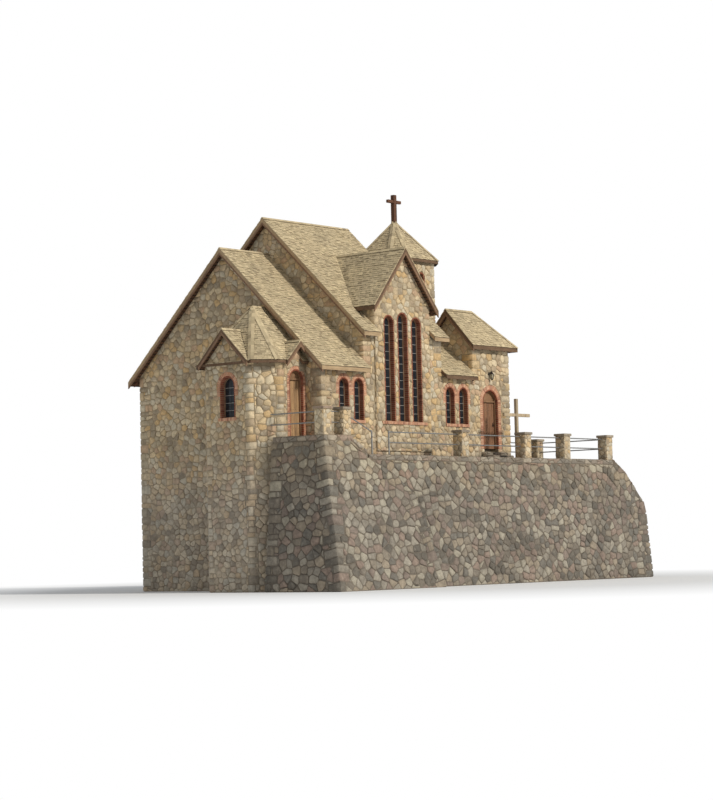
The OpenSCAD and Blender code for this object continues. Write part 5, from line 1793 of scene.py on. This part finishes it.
class CHAPEL_OT_crosses(bpy.types.Operator):
    """Shape the tower cross and the yard cross from chamfered beams"""

    bl_idname = "chapel.crosses"
    bl_label = "Crosses"

    def execute(self, context):
        for node, finish, slot, carrier, sunk, arm_at, arm_share, chamfer in (
            ("tower_cross", "beam_wood", "dark_wood", "tower_roof", 0.4, 0.69, 0.35, 0.018),
            ("yard_cross", "pale_wood", "pale_wood", None, 0.0, 0.70, 0.42, 0.012),
        ):
            low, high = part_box(node)
            middle = (low + high) / 2
            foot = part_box(carrier)[1].z if carrier else low.z
            arm = foot + arm_at * (high.z - foot)
            half, thin = (high.y - low.y) / 2, (high.y - low.y) * arm_share
            beams = Heap()
            beams.add_block((middle.x - half, middle.y - half, foot - sunk),
                            (middle.x + half, middle.y + half, high.z), chamfer, 0.3)
            beams.add_block((low.x, middle.y - thin, arm),
                            (high.x, middle.y + thin, arm + ARM_TALL), chamfer, 0.7)
            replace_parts(beams.piece(f"{node}_beams", finish, slot), node)
        return {"FINISHED"}


class CHAPEL_OT_lantern(bpy.types.Operator):
    """Build the six-sided wall lantern on its bracket"""

    bl_idname = "chapel.lantern"
    bl_label = "Lantern"

    def execute(self, context):
        low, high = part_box("wall_lantern")
        iron, glass = Heap(), Heap()
        wall, foot, top = high.y, low.z, low.z + 0.33
        middle = Vector(((low.x + high.x) / 2, low.y + 0.085, 0))
        ways = [math.tau * (k + 0.5) / 6 for k in range(6)]

        def turned(heap, levels, ends=()):
            heap.add_rings([[middle + Vector((math.cos(way) * reach, math.sin(way) * reach, z))
                             for way in ways] for z, reach in levels], ends=ends)

        for at, profile in ((foot, LANTERN_FOOT), (top, LANTERN_HOOD)):
            turned(iron, [(at + z, reach) for z, reach in profile], ("foot", "head"))
        turned(glass, [(foot + 0.07, 0.056), (top - 0.08, 0.072)])
        for way in ways:
            aside = Vector((math.cos(way), math.sin(way), 0))
            iron.add_bar(middle + aside * 0.060 + UP * (foot + 0.065),
                         middle + aside * 0.077 + UP * (top - 0.075), 0.005)
        for z in (0.11, 0.17):
            reach = 0.061 + z * 0.055
            turned(iron, [(foot + z, reach), (foot + z + 0.006, reach + 0.004),
                          (foot + z + 0.012, reach)])
        x = middle.x
        iron.add_bar(Vector((x, wall - 0.012, foot + 0.315)),
                     Vector((x, middle.y - 0.004, foot + 0.372)), 0.010)
        iron.add_bar(Vector((x, wall - 0.012, foot + 0.20)),
                     Vector((x, wall - 0.10, foot + 0.335)), 0.008)
        iron.add_block((x - 0.05, wall - 0.016, foot + 0.09), (x + 0.05, wall, foot + 0.335),
                       0.006, 0.5)
        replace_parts(iron.piece("lantern_frame", "ironwork", "ironwork"), "wall_lantern")
        glass.piece("lantern_glass", "lamp_glass", "window_glass")
        return {"FINISHED"}


class CHAPEL_OT_rafters(bpy.types.Operator):
    """Set rafter tails under the eaves and purlin ends under the small gables"""

    bl_idname = "chapel.rafters"
    bl_label = "Rafters"

    def execute(self, context):
        s = context.scene.chapel_sizes
        Site.survey(s)
        guide = Guide()
        for face in gather_faces(ROOFS, lambda n: n.z < -0.3):
            slope = face.v if face.v.z > 0 else -face.v
            if abs(slope.z) < 0.3:
                continue
            ys = [p[1] for loop in face.loops for p in loop]
            for line in (min(ys) + RAFTER_IN, max(ys) - RAFTER_IN):
                for left, right in level_cuts(face.loops, line):
                    count = int((right - left - 0.2) / RAFTER_PITCH)
                    for k in range(count + 1):
                        spot = face.spot(left + (right - left) * ((k + 0.5) / (count + 1)), line)
                        upper = spot.z > face.spot(left, sum(ys) / len(ys)).z
                        if not upper and not Site.meets(spot + face.out * SKIN, face.out, 0.12):
                            guide.point(spot, face.out, slope)
        guide.lay("rafter_tails", "beam_wood", "dark_wood", Size=RAFTER, Chamfer=0.012,
                  Lift=0.036, Seed=s.seed + 80)
        return {"FINISHED"}


class CHAPEL_OT_pillar_caps(bpy.types.Operator):
    """Set a bevelled slab on each rail pillar"""

    bl_idname = "chapel.pillar_caps"
    bl_label = "Pillar Caps"

    def execute(self, context):
        heap = Heap()
        rng = random.Random(context.scene.chapel_sizes.seed + 70)
        over, tall, above = 0.006, 0.094, 0.008
        for low, high in solid_boxes("rail_pillars"):
            heap.add_block((low.x - over, low.y - over, high.z - tall),
                           (high.x + over, high.y + over, high.z + above), 0.02, rng.random())
        heap.piece("pillar_caps", "paving_stone", "fieldstone")
        return {"FINISHED"}


class CHAPEL_OT_stage(bpy.types.Operator):
    """Set the floor, the lights and the camera"""

    bl_idname = "chapel.stage"
    bl_label = "Stage"

    def execute(self, context):
        scene = context.scene
        self.floor(scene)
        self.lights(scene, scene.chapel_look)
        self.camera(scene)
        scene.view_settings.view_transform = "Standard"
        return {"FINISHED"}

    @staticmethod
    def floor(scene):
        """A pale floor that shows white far from the chapel, and keeps its shadow near it."""
        far, near, fading, below = 600.0, 14.0, 16.0, -0.002
        corners = ((-far, -far, below), (far, -far, below), (far, far, below), (-far, far, below))
        mesh = bpy.data.meshes.new("floor")
        mesh.from_pydata(corners, [], [(0, 1, 2, 3)])
        floor = bpy.data.objects.new("floor", mesh)
        scene.collection.objects.link(floor)
        material = bpy.data.materials.new("pale_floor")
        material.use_nodes = True
        web = Web(material.node_tree)
        web.nodes.clear()
        away = web.add("ShaderNodeVectorMath", web.spot(), operation="LENGTH")["Value"]
        fade = web.maths("DIVIDE", web.minus(away, near), fading, True)
        eye = web.add("ShaderNodeLightPath")
        seen = web.maths("MAXIMUM", eye["Is Camera Ray"], eye["Is Glossy Ray"])
        pale = web.add("ShaderNodeBsdfDiffuse", (0.94, 0.94, 0.94, 1))[0]
        white = web.add("ShaderNodeEmission", (1, 1, 1, 1))[0]
        mix = web.add("ShaderNodeMixShader", web.times(fade, seen), pale, white)[0]
        web.add("ShaderNodeOutputMaterial", mix)
        mesh.materials.append(material)

    @staticmethod
    def lights(scene, look):
        """Even light all round, white to the camera, and one soft sun."""
        world = bpy.data.worlds.new("even_light")
        scene.world = world
        world.use_nodes = True
        web = Web(world.node_tree)
        web.nodes.clear()
        eye = web.add("ShaderNodeLightPath")
        seen = web.maths("MAXIMUM", eye["Is Camera Ray"], eye["Is Transmission Ray"])
        soft = web.add("ShaderNodeBackground", (0.94, 0.97, 1.0, 1), look.sky_light)[0]
        white = web.add("ShaderNodeBackground", (1, 1, 1, 1), 1.0)[0]
        web.add("ShaderNodeOutputWorld", web.add("ShaderNodeMixShader", seen, soft, white)[0])
        lamp = bpy.data.lights.new("key", "SUN")
        lamp.energy = look.key_light
        lamp.angle = math.radians(6)
        lamp.color = (1.0, 0.965, 0.9)
        key = bpy.data.objects.new("key", lamp)
        key.rotation_euler = Vector((0.06, -0.87, 0.45)).to_track_quat("Z", "Y").to_euler()
        scene.collection.objects.link(key)

    @staticmethod
    def camera(scene):
        """The photograph's own viewpoint, fitted to the building's edges."""
        yaw, pitch, roll = math.radians(40.265), math.radians(3.612), math.radians(-1.344)
        focal, picture, sensor = 2299.447, 800, 36.0
        stand = (-73.586, -60.70825, 1.667)
        ahead = Vector((math.cos(yaw) * math.cos(pitch), math.sin(yaw) * math.cos(pitch),
                        math.sin(pitch)))
        right = Vector((math.sin(yaw), -math.cos(yaw), 0))
        up = right.cross(ahead)
        data = bpy.data.cameras.new("viewpoint")
        data.sensor_width = sensor
        data.lens = focal / picture * sensor
        data.clip_start, data.clip_end = 1.0, 2000.0
        camera = bpy.data.objects.new("viewpoint", data)
        scene.collection.objects.link(camera)
        turn = Matrix((right * math.cos(roll) + up * math.sin(roll),
                       up * math.cos(roll) - right * math.sin(roll), -ahead))
        camera.matrix_world = Matrix.Translation(stand) @ turn.transposed().to_4x4()
        scene.camera = camera


class CHAPEL_PT_panel(bpy.types.Panel):
    """Steps that build the chapel's looks, in order"""

    bl_idname = "CHAPEL_PT_panel"
    bl_label = "Chapel"
    bl_space_type = "VIEW_3D"
    bl_region_type = "UI"
    bl_category = "Chapel"

    def draw(self, context):
        column = self.layout.column(align=True)
        for operator in STEPS:
            column.operator(operator.bl_idname)
        for group in (context.scene.chapel_sizes, context.scene.chapel_look):
            box = self.layout.box()
            for key in group.__annotations__:
                box.prop(group, key)


STEPS = (
    CHAPEL_OT_finishes, CHAPEL_OT_stage, CHAPEL_OT_wall_stones, CHAPEL_OT_base_stones,
    CHAPEL_OT_pillar_stones, CHAPEL_OT_paving, CHAPEL_OT_brickwork, CHAPEL_OT_shingles,
    CHAPEL_OT_window_bars, CHAPEL_OT_doors, CHAPEL_OT_crosses, CHAPEL_OT_lantern,
    CHAPEL_OT_rafters, CHAPEL_OT_pillar_caps,
)
CLASSES = (ChapelSizes, ChapelLook, *STEPS, CHAPEL_PT_panel)


def register():
    for cls in CLASSES:
        bpy.utils.register_class(cls)
    bpy.types.Scene.chapel_sizes = bpy.props.PointerProperty(type=ChapelSizes)
    bpy.types.Scene.chapel_look = bpy.props.PointerProperty(type=ChapelLook)


def unregister():
    del bpy.types.Scene.chapel_look
    del bpy.types.Scene.chapel_sizes
    for cls in reversed(CLASSES):
        bpy.utils.unregister_class(cls)


def main():
    register()
    bpy.ops.chapel.finishes()
    bpy.ops.chapel.stage()
    bpy.ops.chapel.wall_stones()
    bpy.ops.chapel.base_stones()
    bpy.ops.chapel.pillar_stones()
    bpy.ops.chapel.paving()
    bpy.ops.chapel.brickwork()
    bpy.ops.chapel.shingles()
    bpy.ops.chapel.window_bars()
    bpy.ops.chapel.doors()
    bpy.ops.chapel.crosses()
    bpy.ops.chapel.lantern()
    bpy.ops.chapel.rafters()
    bpy.ops.chapel.pillar_caps()


if __name__ == "__main__":
    main()
